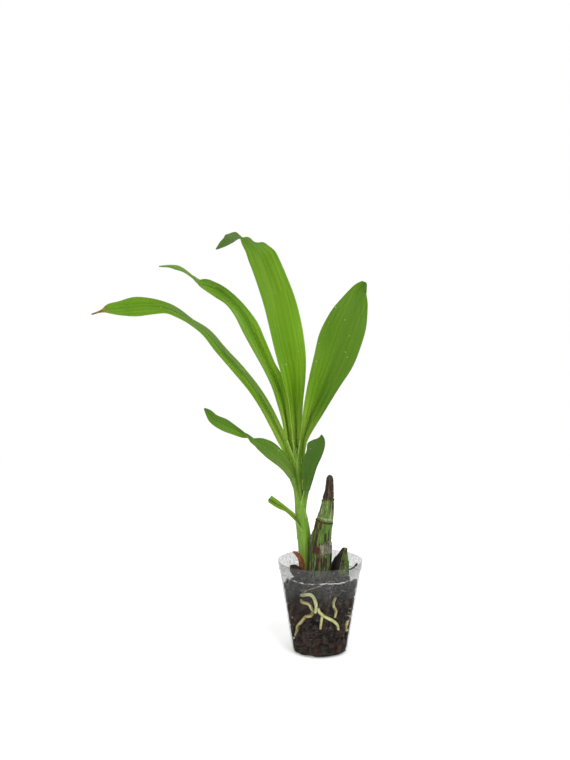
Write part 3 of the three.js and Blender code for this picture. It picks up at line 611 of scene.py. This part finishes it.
def bark_look():
    look = Look("bark_pieces", Specular_IOR_Level=0.2)
    kind, shade, _ = look.mark("mark")
    grain = look.noise(look.place(1.4), 6, 0.7)
    crumb = look.noise(look.place(0.45), 3, 0.6)
    zone = look.noise(look.place(16), 3, 0.5)
    bark = look.ramp(grain, (0.3, "080504"), (0.5, "231912"), (0.72, "66503f"))
    coal = look.ramp(grain, (0.3, "040404"), (0.55, "0d0e10"), (0.8, "2c2e32"))
    coir = look.ramp(grain, (0.3, "1d0f09"), (0.55, "4a2c1b"), (0.8, "94704f"))
    drift = look.span(zone, 0.3, 0.7, -0.3, 0.3)
    colour = look.mix(look.span(look.plus(kind, drift), 0.45, 0.5), bark, coal)
    colour = look.mix(look.span(kind, 0.74, 0.8), colour, coir)
    # Darker by each piece's shade mark: random tone on the chips, full on the core, painted shadow on the
    # front lump.
    colour = look.mix(look.times(shade, 0.85), colour, hue("040302"))
    rough = look.span(grain, 0.3, 0.7, 0.45, 0.9)
    height = look.plus(grain, look.times(crumb, 0.4))
    return look.finish(colour, rough, height, 0.5)


def root_look():
    look = Look("root_skin", Specular_IOR_Level=0.35)
    kind = look.mark("mark")[0]
    cloud = look.noise(look.place(5), 4, 0.6)
    fine = look.noise(look.place(0.8))
    skin = look.ramp(cloud, (0.3, "8d9a5c"), (0.5, "b4b57c"), (0.72, "d2cfa5"))
    tan = look.ramp(cloud, (0.3, "6b5738"), (0.55, "9c8759"), (0.8, "c0ae80"))
    colour = look.mix(kind, skin, tan)
    colour = look.mix(look.span(fine, 0.55, 0.75, 0, 0.35), colour, hue("6a5a3a"))
    rough = look.span(fine, 0.3, 0.7, 0.5, 0.8)
    return look.finish(colour, rough, fine, 0.12)


def pot_look():
    look = Look("clear_pot", IOR=1.45, Specular_IOR_Level=0.2)
    height = look.part(look.place())[2]
    cloud = look.noise(look.place(9), 4, 0.6)
    mist = look.noise(look.place(1.6), 5, 0.7)
    drops = look.span(look.cells(look.place(1.3)), 0.12, 0.3, 1.0, 0.0)
    line = look.plus(height, look.times(cloud, -34.0))
    haze = look.span(line, 26, 50)
    haze = look.times(haze, look.span(mist, 0.3, 0.7, 0.35, 1.0))
    patches = look.span(look.noise(look.place(5)), 0.5, 0.62)
    # Droplets in patches, whitened below as painted glints.
    wet_glints = look.times(drops, patches)
    # Painted highlight: a thin bright line round the wall at about 64 mm, in patches.
    bend = look.math("SUBTRACT", look.math("SUBTRACT", height, look.times(cloud, 4.0)), 64.0)
    ledge_highlight = look.span(look.math("ABSOLUTE", bend), 0.15, 0.45, 1, 0)
    ledge_highlight = look.times(ledge_highlight, look.span(look.noise(look.place(11), 2), 0.38, 0.52, 0.15, 1))
    # Painted reflection: faint vertical streaks, as more alpha on the wall.
    reflection_streaks = look.span(look.noise(look.place(3, (1, 1, 0.05)), 4, 0.6), 0.52, 0.72)
    # Painted glints and highlight: the droplets and ledge line turn the wall pale and less clear.
    shine = look.math("MAXIMUM", wet_glints, ledge_highlight)
    colour = look.ramp(mist, (0.3, "454644"), (0.55, "595a58"), (0.8, "878884"))
    colour = look.mix(shine, colour, hue("d6d8d6"))
    alpha = look.plus(look.times(haze, 0.37), 0.015)
    alpha = look.plus(alpha, look.times(shine, 0.3))
    alpha = look.plus(alpha, look.times(reflection_streaks, 0.07))
    facing = look.add("LayerWeight", {"Blend": 0.5}).outputs["Facing"]
    rim = look.span(facing, 0.72, 0.98)
    low = look.span(height, 50, 58, 1, 0)
    colour = look.mix(look.times(rim, low), colour, hue("2b211a"))
    alpha = look.plus(alpha, look.times(rim, look.span(low, 0, 1, 0.35, 0.8)))
    look.put(look.shader.inputs["Alpha"], look.math("MINIMUM", alpha, 0.95))
    rough = look.span(mist, 0.3, 0.8, 0.06, 0.2)
    ripple = look.plus(look.noise(look.place(9), 2), look.times(drops, 0.04))
    return look.finish(colour, rough, ripple, 0.25)


# Pieces

def round_growth(rows, sides, levels, relief):
    """Rings up a growth, moved outward by relief(angle, height, points)."""
    s = np.linspace(0, len(rows) - 1, levels + 1)
    x, y, z, wide, deep = along(rows, s).T
    a = around(sides)
    out = np.stack([np.cos(a), np.sin(a), 0 * a], 1)
    rings = np.stack([x, y, z], 1)[:, None] + out[None] * np.stack([wide, deep, 0 * z], 1)[:, None]
    push = relief(a[None] + 0 * z[:, None], z[:, None] + 0 * a[None], rings)
    return rings + out[None] * push[..., None]


def column_relief(a, z, p):
    lines = 0.1 * np.sin(11 * a + 0.02 * z) + 0.1 * noise(p * (1, 1, 0.05), 1.6, 3)
    return lines - 0.1 - 0.5 * smooth(z, 122, 138) - 1.0 * smooth(z, 140, 160)


def level(rows, z):
    """Middle and half widths of a growth at heights z, straight between its rows."""
    rows = np.asarray(rows, float)
    return [np.interp(z, rows[:, 2], rows[:, k]) for k in (0, 1, 3, 4)]


# Sheath of each leaf: lowest height, direction of its keel, half spread, lengths of pull at both ends
SHEATHS = {
    "leaf_7": (94, -176, 80, 16, 8),
    "leaf_6": (119, -6, 96, 9, 8),
    "leaf_5": (108, -150, 104, 24, 14),
    "leaf_4": (132, 40, 100, 26, 16),
    "leaf_1": (134, 150, 96, 26, 16),
    "leaf_2": (140, 130, 90, 22, 16),
    "leaf_3": (140, 90, 90, 22, 16),
}


def sheath_grid(name, steps, strips):
    """A leaf's base, which wraps the growth at the bottom and opens into the blade."""
    leaf = LEAVES[name]
    low, keel, spread, pull_low, pull_high = SHEATHS[name]
    top = leaf.get("sheath", 1)
    ends, place = section(leaf["rows"], np.array([top - 0.01, top + 0.02]), strips)
    high, high_way = ends[1], unit(ends[1] - ends[0])
    q = np.linspace(-1, 1, 2 * strips + 1)
    a = np.radians(keel - q * spread)
    x, y, wide, deep = level(COLUMN, low)
    ring = np.stack([x + (wide - 0.6) * np.cos(a), y + (deep - 0.6) * np.sin(a), low + 5 * q**2], 1)
    x2, y2, _, _ = level(COLUMN, low + 15)
    low_way = unit(np.array([x2 - x, y2 - y, 15.0]))
    t = np.linspace(0, 1, steps + 1)[:, None, None]
    grid = (2 * t**3 - 3 * t**2 + 1) * ring + (t**3 - 2 * t**2 + t) * low_way * pull_low
    grid = grid + (3 * t**2 - 2 * t**3) * high + (t**3 - t**2) * high_way * pull_high
    return grid, np.repeat(place[1:], steps + 1, 0)


def new_growth():
    shape = Shape()
    shape.add(*capped(round_growth(COLUMN, 56, 150, column_relief)))
    for name in SHEATHS:
        grid, marks = sheath_grid(name, 46, BLADE_STRIPS)
        share = marks[..., 2]
        t = np.linspace(0, 1, grid.shape[0])[:, None]
        thick = BLADE_HALF * (1 - 0.55 * share**2) + 0.35 * (1 - t) ** 2
        points, faces = sheet(grid, thick, thick)
        leaf = LEAVES[name]
        rows = np.full(len(t), leaf.get("sheath", 1))
        # Each sheath takes its blade's painted shade, fading in towards the top.
        shade = leaf_shades(leaf, rows, marks) * smooth(t, 0.35, 1)[..., None]
        shape.add(points, faces, *(np.vstack([m.reshape(-1, 3)] * 2) for m in (marks, 0 * marks, shade)))
    show("young_growth", shape.mesh("young_growth"), column_look(), "new_growth")


def leaves():
    material = leaf_look()
    for k, (name, leaf) in enumerate(LEAVES.items()):
        shape = Shape()
        start = leaf.get("sheath", 1) + SEAM
        add_leaf(shape, leaf, start, BLADE_STEP, BLADE_STRIPS, BLADE_HALF, seed=k)
        show("blade_" + name[-1], shape.mesh(name), material, name)


def bulb_relief(nodes, wrinkle, seed):
    def relief(a, z, p):
        out = wrinkle * noise(p * (1, 1, 0.08), 2.0, seed) + 0.5 * wrinkle * noise(p, 1.1, seed + 1)
        for height, lean in nodes:
            d = z - height - lean * np.cos(a)
            out = out + 0.4 * np.exp(-((d / 0.6) ** 2)) - 0.35 * np.exp(-(((d - 1.4) / 0.6) ** 2))
        return out
    return relief


def facing(rows, points):
    """Degrees round a growth from its front, to the right, and the height."""
    x, y, _, _ = level(rows, points[:, 2])
    turn = np.degrees(np.arctan2(points[:, 1] - y, points[:, 0] - x)) + 90
    return (turn + 180) % 360 - 180, points[:, 2]


def within(value, low, high, soft):
    return smooth(value, low - soft, low + soft) * (1 - smooth(value, high - soft, high + soft))


def highest(*parts):
    return np.maximum.reduce(parts)


def old_bulb_marks(points):
    """How dark, how papery and how red the old growth is at each point."""
    u, z = facing(OLD_BULB, points)
    streak, blot = skin_noise(u, z, 5, 11, 21), skin_noise(u, z, 14, 16, 22)
    fibres, flakes = skin_noise(u, z, 3, 7, 23), skin_noise(u, z, 5, 11, 25)
    wave = 1.6 * np.sin(np.radians(u))
    left = within(u, -110, -6, 8) * within(z, 84, 112, 2)
    dark = highest(
        within(z, 130, 150, 3) * smooth(fibres, -1.2, -0.3),
        within(z, 120, 134, 3) * smooth(fibres + (z - 128) / 14 + u / 90, 0.0, 0.5),
        np.exp(-(((z - 111.5 + wave) / 0.9) ** 2)),
        left * smooth(streak, -0.5, 0.1) * 0.95,
        within(z, 86, 110, 2) * smooth(streak, 0.25, 0.45) * 0.85,
        within(z, 60, 84, 3) * smooth(streak + 0.5 * blot, -0.2, 0.2) * 0.95,
    )
    pale = highest(
        within(z, 112.5, 129, 2) * smooth(streak, 0.05, 0.6) * (1 - 0.6 * dark),
        np.exp(-((z - 114.5 + wave) ** 2)) * 0.6,
        within(z, 62, 86, 2) * smooth(flakes, 0.25, 0.5) * 0.7,
        smooth(z, 148.6, 149.6) * 0.8,
    )
    red = within(z, 86.5, 91.5, 1.0) * within(u, -70, 15, 8) * smooth(fibres, -0.4, 0.3)
    red = highest(red, left * smooth(blot, 0.2, 0.5) * 0.8)
    return np.stack([dark, pale, red], 1)


def back_bulb_marks(points):
    u, z = facing(BACK_BULB, points)
    streak = skin_noise(u, z, 6, 8, 31)
    left, tip = 1.3 - 1.3 * smooth(u, -20, 0), smooth(z, 80, 84) * smooth(streak, -0.5, 0.1)
    dark = highest(left, smooth(streak, 0.1, 0.4) * 0.85, tip)
    pale = highest(smooth(z, 85.2, 85.8), smooth(noise(points, 3, 33), 0.35, 0.6) * 0.5)
    return np.stack([dark, pale, 0.4 * dark * smooth(streak, 0.3, 0.6)], 1)


def bulbs():
    material = bulb_look()
    shape = Shape()
    relief = bulb_relief(((71, 0.4), (88.5, 0.6), (111.5, -1.6), (129, 0.5)), 0.32, 5)
    points, faces = capped(round_growth(OLD_BULB, 96, 220, relief))
    shape.add(points, faces, old_bulb_marks(points))
    show("old_bulb", shape.mesh("old_bulb"), material, "old_pseudobulb")
    shape = Shape()
    points, faces = capped(round_growth(BACK_BULB, 72, 80, bulb_relief(((74, 0.5),), 0.3, 9)))
    shape.add(points, faces, back_bulb_marks(points))
    shape.add(*capped(tube(DEAD_ROOT, 10, 50, 0.2, 4)), mark=(1, 0, 0.2))
    show("back_bulb", shape.mesh("back_bulb"), material, "back_pseudobulb")


def outer_radius(z):
    return POT_BASE_RADIUS + POT_TAPER * z


def wall_radius(z):
    return outer_radius(z) - POT_WALL


def hold_in(row, spare):
    """Moves rows of [x, y, z, radius] in until they clear the wall by the spare distance."""
    most = wall_radius(row[:, 2]) - spare - row[:, 3]
    row[:, :2] *= np.minimum(1, most / np.hypot(row[:, 0], row[:, 1]))[:, None]


def tube(rows, sides, steps, rough=0.0, seed=0, wall=None):
    """Rings along a rod, kept inside the pot's wall where wall is given."""
    s = np.linspace(0, len(rows) - 1, steps + 1)
    row = along(rows, s)
    if wall is not None:
        hold_in(row, wall)
    ahead = heading(rows, s)
    way, found = np.array([0.3, 0.2, 1.0]), []
    for t in ahead:
        way = unit(way - t * (way @ t))
        found.append(way)
    side = np.array(found)
    up = np.cross(ahead, side)
    a = around(sides)[None, :, None]
    out = side[:, None] * np.cos(a) + up[:, None] * np.sin(a)
    rings = row[:, None, :3] + out * row[:, None, 3:]
    if rough:
        rings = rings + rough * noise(rings, 1.6, seed)[..., None] * out
    return rings


# Thin dry root along the front of the mound: rows as for the roots
FIBRE = [
    [-13.5, -27.2, 57.6, 0.28], [-10.8, -28.1, 59.7, 0.32], [-4, -29.6, 62.4, 0.3], [2, -30.2, 65.2, 0.3],
    [8.2, -30.4, 68.3, 0.28],
]


def roots():
    shape = Shape()
    shape.add(*capped(tube(FIBRE, 8, 60, 0.08, 3, wall=0.3)), mark=(1.0, 0, 0))
    shape.add(*capped(tube(RHIZOME, 20, 50, 0.4, 2)), mark=(1, 0, 0))
    for k, rows in enumerate(ROOTS):
        rings = tube(rows, 14, 9 * (len(rows) - 1), 0.12, k, wall=ROOT_SPARE)
        shape.add(*capped(rings), mark=(0.3 * (k % 3), 0, 0))
    show("root_system", shape.mesh("root_system"), root_look(), "roots")


def ball(detail):
    source = bmesh.new()
    bmesh.ops.create_icosphere(source, subdivisions=detail, radius=1)
    points = np.array([v.co[:] for v in source.verts])
    faces = np.array([[v.index for v in f.verts] for f in source.faces])
    source.free()
    return points, faces


def chunk(base, size):
    """An angular lump: a ball squared off by random planes."""
    points = base.copy()
    for _ in range(9):
        n = unit(rng.normal(size=3))
        over = np.maximum(points @ n - rng.uniform(0.45, 0.8), 0)
        points = points - over[:, None] * n
    points = points * size
    turn = np.linalg.qr(rng.normal(size=(3, 3)))[0]
    if np.linalg.det(turn) < 0:
        turn[:, 0] *= -1
    return points @ turn.T


def keep_in(points, spare):
    most = wall_radius(points[:, 2]) - spare
    radius = np.maximum(np.hypot(points[:, 0], points[:, 1]), 1e-6)
    scale = np.minimum(1, most / radius)
    return np.column_stack([points[:, 0] * scale, points[:, 1] * scale, np.maximum(points[:, 2], 1.5)])


def mound(r):
    return np.interp(r, [0, 5.5, 11.5, 17, 22, 26.5, 31], [65.2, 65, 64.4, 62.6, 60, 57, 53.5])


def root_paths():
    """Points along every root with their radius, as tube() lays them."""
    found = []
    for rows in ROOTS:
        row = along(rows, np.linspace(0, len(rows) - 1, 14 * (len(rows) - 1)))
        hold_in(row, ROOT_SPARE)
        found.append(row)
    return np.concatenate(found)


def sink_below(points, paths):
    """Pulls points that would cover a root in towards the pot's middle."""
    out = points.copy()
    distance = np.hypot(paths[:, 0], paths[:, 1])
    outward = paths[:, :2] / distance[:, None]
    for start in range(0, len(points), 4000):
        block = slice(start, start + 4000)
        part = points[block]
        radius = np.hypot(part[:, 0], part[:, 1])
        gap = part[:, None] - paths[None, :, :3]
        radial = gap[..., 0] * outward[:, 0] + gap[..., 1] * outward[:, 1]
        aside = np.sqrt(np.maximum((gap**2).sum(-1) - radial**2, 0))
        near = (aside < paths[:, 3] + ROOT_ASIDE) & (radial > -ROOT_BEHIND) & (distance > 15)
        deep = np.where(near, distance - paths[:, 3] * 0.6, 99).min(1)
        scale = np.minimum(1, np.maximum(deep, 4) / np.maximum(radius, 1e-6))
        out[block, :2] = part[:, :2] * scale[:, None]
    return out


def fibre(shape, angle, height, kind, steps=6):
    """A strand of coir that wanders over the mix just inside the wall."""
    rows = []
    for _ in range(steps):
        radius = wall_radius(height) - rng.uniform(0.3, 1.2)
        rows.append([*polar(radius, angle, height), rng.uniform(0.09, 0.2)])
        angle += rng.normal(0, 0.09)
        height = min(max(height + rng.normal(0, 2.6), 3), 55)
    shape.add(*capped(tube(rows, 4, 3 * steps, wall=0.2)), mark=kind)


def lump_size(low, high, thin, thick):
    """Random length, width and thickness of a lump."""
    return rng.uniform(low, high) * np.array([1, rng.uniform(0.5, 0.9), rng.uniform(thin, thick)])


def turned(r, z, sides):
    """Rings of a profile turned round the pot's axis."""
    a = around(sides)
    r, z = np.asarray(r)[:, None], np.asarray(z)[:, None]
    return np.stack([r * np.cos(a), r * np.sin(a), z + 0 * a], -1)


def bark_mix():
    shape = Shape()
    base, faces = ball(2)
    z = np.linspace(1.2, 50, CORE_RINGS)
    r = wall_radius(z) - (0.5 + 2.9 * smooth(z, 2, 12))
    top = np.linspace(26.5, 2, 14)
    rings = turned(np.concatenate([r, top]), np.concatenate([z, mound(top) - 2.8]), 90)
    rings = rings + 1.3 * noise(rings, 3.2, 1)[..., None] * (1, 1, 0.6)
    points, sides = capped(rings)
    shape.add(keep_in(points, 0.1), sides, mark=(0.3, 1, 0))
    lumps, kinds = [], []
    for _ in range(WALL_CHIPS):
        angle = rng.uniform(0, FULL_TURN)
        height = rng.uniform(2.2, 59)
        size = lump_size(1.2, 4.4, 0.35, 0.8)
        radius = wall_radius(height) - rng.uniform(0.6, 2.6)
        lumps.append(chunk(base, size) + polar(radius, angle, height))
        kinds.append((rng.uniform(), rng.uniform(0, 0.9), 0))
    for _ in range(TOP_CHIPS):
        angle = rng.uniform(0, FULL_TURN)
        radius = 29 * math.sqrt(rng.uniform(0.0, 1))
        size = lump_size(1.3, 4.4, 0.3, 0.6)
        height = mound(radius) + rng.uniform(-1.8, 0.0)
        lumps.append(chunk(base, size) + polar(radius, angle, height))
        kinds.append((rng.uniform(0, 0.8), rng.uniform(0.2, 1), 0))
    for _ in range(FRONT_CHIPS):
        size = lump_size(1.6, 3.6, 0.4, 0.7)
        spot = [rng.uniform(-24, 24), rng.uniform(-25, -11), rng.uniform(61, 67.5)]
        lumps.append(chunk(base, size) + spot)
        kinds.append((rng.uniform(0, 0.8), rng.uniform(0.3, 1), 0))
    points = sink_below(keep_in(np.concatenate(lumps), 0.06), root_paths())
    for k, kind in enumerate(kinds):
        shape.add(points[k * len(base):(k + 1) * len(base)], [faces], mark=kind)
    # A lump of mix in front of the bract, made near black as painted shadow on mix that lies in shade.
    fine, fine_faces = ball(4)
    lean = math.radians(42)
    wedge = fine * (4.6, 2.2, 8.6)
    turn = np.array([[math.cos(lean), 0, math.sin(lean)], [0, 1, 0], [-math.sin(lean), 0, math.cos(lean)]])
    wedge = wedge @ turn + 0.4 * noise(wedge, 1.8, 7)[:, None] * unit(wedge)
    shape.add(wedge + (-18.6, -11, 69.6), [fine_faces], mark=(0.9, 0.85, 0))
    for _ in range(COIR_FIBRES):
        kind = (0.92, rng.uniform(0, 0.6), rng.uniform())
        fibre(shape, rng.uniform(0, FULL_TURN), rng.uniform(4, 54), kind)
    show("potting_bark", shape.mesh("potting_bark"), bark_look(), "bark_mix")


def pot():
    def arc(radius, degrees):
        turns = np.radians(degrees)
        return [[corner + radius * math.sin(t), POT_CORNER - radius * math.cos(t)] for t in turns]

    corner = outer_radius(POT_CORNER) - POT_CORNER
    under_band = outer_radius(BAND_LOW)
    band = under_band + BAND_STEP
    top = outer_radius(POT_HEIGHT) + BAND_STEP - 0.6
    floor = (17, 12, 6, 0.01)
    profile = [[r, 0.0] for r in floor[::-1]] + arc(POT_CORNER, np.linspace(0, 90, 10))
    profile += [[outer_radius(z), z] for z in np.linspace(6, BAND_LOW - 0.4, 44)]
    profile += [[under_band + 0.05, BAND_LOW], [under_band + 0.4, BAND_LOW + 0.15]]
    profile += [[band - 0.1, BAND_LOW + 0.45], [band, BAND_LOW + 0.7]]
    profile += [[band + (top - band) * t, BAND_LOW + 0.7 + 5.7 * t] for t in (0.25, 0.5, 0.75, 1)]
    profile += [[top, POT_HEIGHT - LIP], [top - 0.12, POT_HEIGHT - 0.13], [top - LIP, POT_HEIGHT]]
    profile += [[top - POT_WALL + 0.12, POT_HEIGHT - 0.13], [top - POT_WALL, POT_HEIGHT - LIP]]
    profile += [[band - POT_WALL, BAND_LOW + 0.9], [under_band - POT_WALL, BAND_LOW + 0.2]]
    profile += [[wall_radius(z), z] for z in np.linspace(BAND_LOW - 1, 6, 40)]
    profile += arc(POT_CORNER - POT_WALL, np.linspace(90, 0, 10)) + [[r, POT_WALL] for r in floor]
    shape = Shape()
    shape.add(*capped(turned(*zip(*profile), 144)))
    body = new_object("pot_body", shape.mesh("clear_pot"))
    drills = Shape()
    for k in range(DRAIN_COUNT):
        turn = FULL_TURN * (k + 0.5) / DRAIN_COUNT
        rows = [[*polar(DRAIN_CIRCLE, turn, z), DRAIN_RADIUS] for z in (-1, 3)]
        drills.add(*capped(tube(rows, 24, 1)))
    drill = new_object("drill", drills.mesh("drill"))
    cut = body.modifiers.new("drains", "BOOLEAN")
    cut.operation = "DIFFERENCE"
    cut.object = drill
    bpy.context.view_layer.update()
    done = bpy.data.meshes.new_from_object(body.evaluated_get(bpy.context.evaluated_depsgraph_get()))
    bpy.data.objects.remove(body)
    bpy.data.objects.remove(drill)
    show("clear_pot", done, pot_look(), "pot")


def torn_sheet(grid, kept):
    """A closed sheet over the kept cells of a grid, with walls round every hole."""
    rows, cols = grid.shape[:2]
    normals = grid_normals(grid) * SHEATH_HALF
    points = np.vstack([(grid + normals).reshape(-1, 3), (grid - normals).reshape(-1, 3)])
    count = rows * cols
    cells = grid_faces(rows, cols)
    upper = cells[kept.ravel()]
    framed = np.pad(kept, 1)
    beside = framed[:-2, 1:-1], framed[1:-1, 2:], framed[2:, 1:-1], framed[1:-1, :-2]
    walls = []
    for side, other in enumerate(beside):
        quads = cells[(kept & ~other).ravel()]
        a, b = quads[:, side], quads[:, (side + 1) % 4]
        walls.append(np.stack([b, a, a + count, b + count], 1))
    shape = Shape()
    shape.add(points, [upper, upper[:, ::-1] + count] + walls)
    return shape


def wrap_grid(rows, top, start, sweep, cols, levels, stand, seed, curl):
    """Grid round a growth up to top(u), where u is degrees from the front, and u and z of its cells."""
    u = start + sweep * np.linspace(0, 1, cols + 1)
    a = np.radians(u - 90)
    t = np.linspace(0, 1, levels + 1)[:, None]
    z = SHEATH_FOOT + (top(u)[None] - SHEATH_FOOT) * t
    x, y, wide, deep = level(rows, z)
    reach = stand + 0.3 * skin_noise(u, z, 22, 7, seed) + curl * t**3
    grid = np.stack([x + (wide + reach) * np.cos(a), y + (deep + reach) * np.sin(a), z], -1)
    heights = 0.25 * (z[1:, 1:] + z[:-1, 1:] + z[1:, :-1] + z[:-1, :-1])
    return grid, 0.5 * (u[1:] + u[:-1])[None], heights


def sheaths():
    def top(u):
        turns = [-130, -95, -62, -45, -14, -6, 20, 52, 82, 150]
        heights = [88, 99, 105, 92, 88, 93.5, 96, 97, 90, 88]
        return np.interp(u, turns, heights) + 1.3 * skin_noise(u, 0, 5, 1, 41)

    def dark_top(u):
        heights = np.interp(u, [-175, -120, -60, -20, 5], [72, 76, 80, 82.5, 79])
        return heights + 1.2 * skin_noise(u, 0, 6, 1, 51)

    grid, u, z = wrap_grid(OLD_BULB, top, -130, 285, 170, 70, 0.75, 43, 0.5)
    tear = skin_noise(u, z, 10, 9, 45) + 0.5 * skin_noise(u, z, 3, 5, 46)
    left = within(u, -58, -12, 4) * within(z, 70, 110, 2)
    bare = highest(left, within(u, -60, 86, 6) * within(z, 66, 85, 1.5))
    shape = torn_sheet(grid, tear - 1.3 * bare > -0.55)
    silver = dry_look("silver_sheath", "37322a", "646050", "a5a08a")
    show("papery_sheath", shape.mesh("papery_sheath"), silver, "old_sheath")
    grid, u, z = wrap_grid(BACK_BULB, dark_top, -175, 180, 100, 50, 0.6, 53, 0.4)
    tear = skin_noise(u, z, 9, 9, 55)
    shape = torn_sheet(grid, tear - 0.8 * smooth(u, -25, 5) > -0.75)
    black = dry_look("black_sheath", "030202", "0e0907", "2c1e16")
    show("dark_sheath", shape.mesh("dark_sheath"), black, "back_sheath")


# Bract: rows as for a leaf
BRACT = [
    [-14.4, -7.4, 60.5, 2.4, 2.4, 20, 20], [-14.2, -7.8, 71, 3, 3, 20, 25], [-15, -8.6, 78, 3, 3, 15, 30],
    [-17.2, -10, 83, 2.4, 2.4, 0, 30], [-20, -11.6, 86, 1.6, 1.6, -10, 20],
    [-22.6, -12, 87.6, 0.6, 0.6, -10, 5],
]


def bract():
    shape = Shape()
    add_leaf(shape, {"rows": BRACT, "shades": [[0, 0, 0, 0, 0]]}, 0, 0.6, 8, BRACT_HALF)
    brown = dry_look("brown_bract", "2e160b", "70411f", "a8794a")
    show("brown_bract", shape.mesh("brown_bract"), brown, "bract")


# Studio

LENS = 70
CAMERA_PLACE = (-0.029, -1.185, 0.398)
CAMERA_TILT = 81.8
AIM = (-0.03, 0, 0.16)
WHITE = (1, 1, 1, 1)
LIT_STRENGTH = 0.28
SEEN_STRENGTH = 1.0
FLOOR_RADIUS = 900
FLOOR_DROP = 0.05
FLOOR_GLOW = 0.32


def camera():
    data = bpy.data.cameras.new("camera")
    data.lens = LENS
    data.sensor_width = 36
    item = new_object("camera", data)
    item.location = CAMERA_PLACE
    item.rotation_euler = (math.radians(CAMERA_TILT), 0, 0)
    bpy.context.scene.camera = item


def lamp(name, place, size, power):
    data = bpy.data.lights.new(name, "AREA")
    data.shape = "RECTANGLE"
    data.size, data.size_y = size
    data.energy = power
    item = new_object(name, data)
    item.location = place
    x, y, z = np.array(AIM) - np.array(place)
    item.rotation_euler = (math.atan2(math.hypot(x, y), -z), 0, math.atan2(y, x) - math.pi / 2)


def studio():
    world = bpy.data.worlds.new("studio")
    world.use_nodes = True
    tree = world.node_tree
    tree.nodes.clear()
    rays = tree.nodes.new("ShaderNodeLightPath")
    both = tree.nodes.new("ShaderNodeMixShader")
    out = tree.nodes.new("ShaderNodeOutputWorld")
    tree.links.new(rays.outputs["Is Camera Ray"], both.inputs[0])
    for k, strength in ((1, LIT_STRENGTH), (2, SEEN_STRENGTH)):
        sky = tree.nodes.new("ShaderNodeBackground")
        sky.inputs["Color"].default_value = WHITE
        sky.inputs["Strength"].default_value = strength
        tree.links.new(sky.outputs[0], both.inputs[k])
    tree.links.new(both.outputs[0], out.inputs["Surface"])
    bpy.context.scene.world = world
    lamp("key", (0.75, -1.5, 1.2), (1.0, 1.0), 30)
    lamp("fill", (-1.1, -1.5, 0.9), (0.5, 1.3), 14)
    lamp("top", (0, 0.3, 2.0), (1.4, 1.4), 16)
    look = Look("floor", Specular_IOR_Level=0.1, Emission_Color=WHITE, Emission_Strength=FLOOR_GLOW)
    grain = look.noise(look.place(40), 2)
    white = look.ramp(grain, (0.0, "f4f4f2"), (1.0, "fafaf8"))
    shape = Shape()
    rings = turned([FLOOR_RADIUS, 1], [-FLOOR_DROP, -FLOOR_DROP], 96)
    shape.add(rings, [grid_faces(2, 96, closed=True), np.arange(96, 192)[None]])
    mesh = shape.mesh("floor")
    mesh.materials.append(look.finish(white, 0.9, grain, 0.1))
    floor = new_object("floor", mesh)
    bpy.context.scene.view_settings.view_transform = "Standard"


camera()
studio()
leaves()
new_growth()
bulbs()
sheaths()
bract()
roots()
bark_mix()
pot()
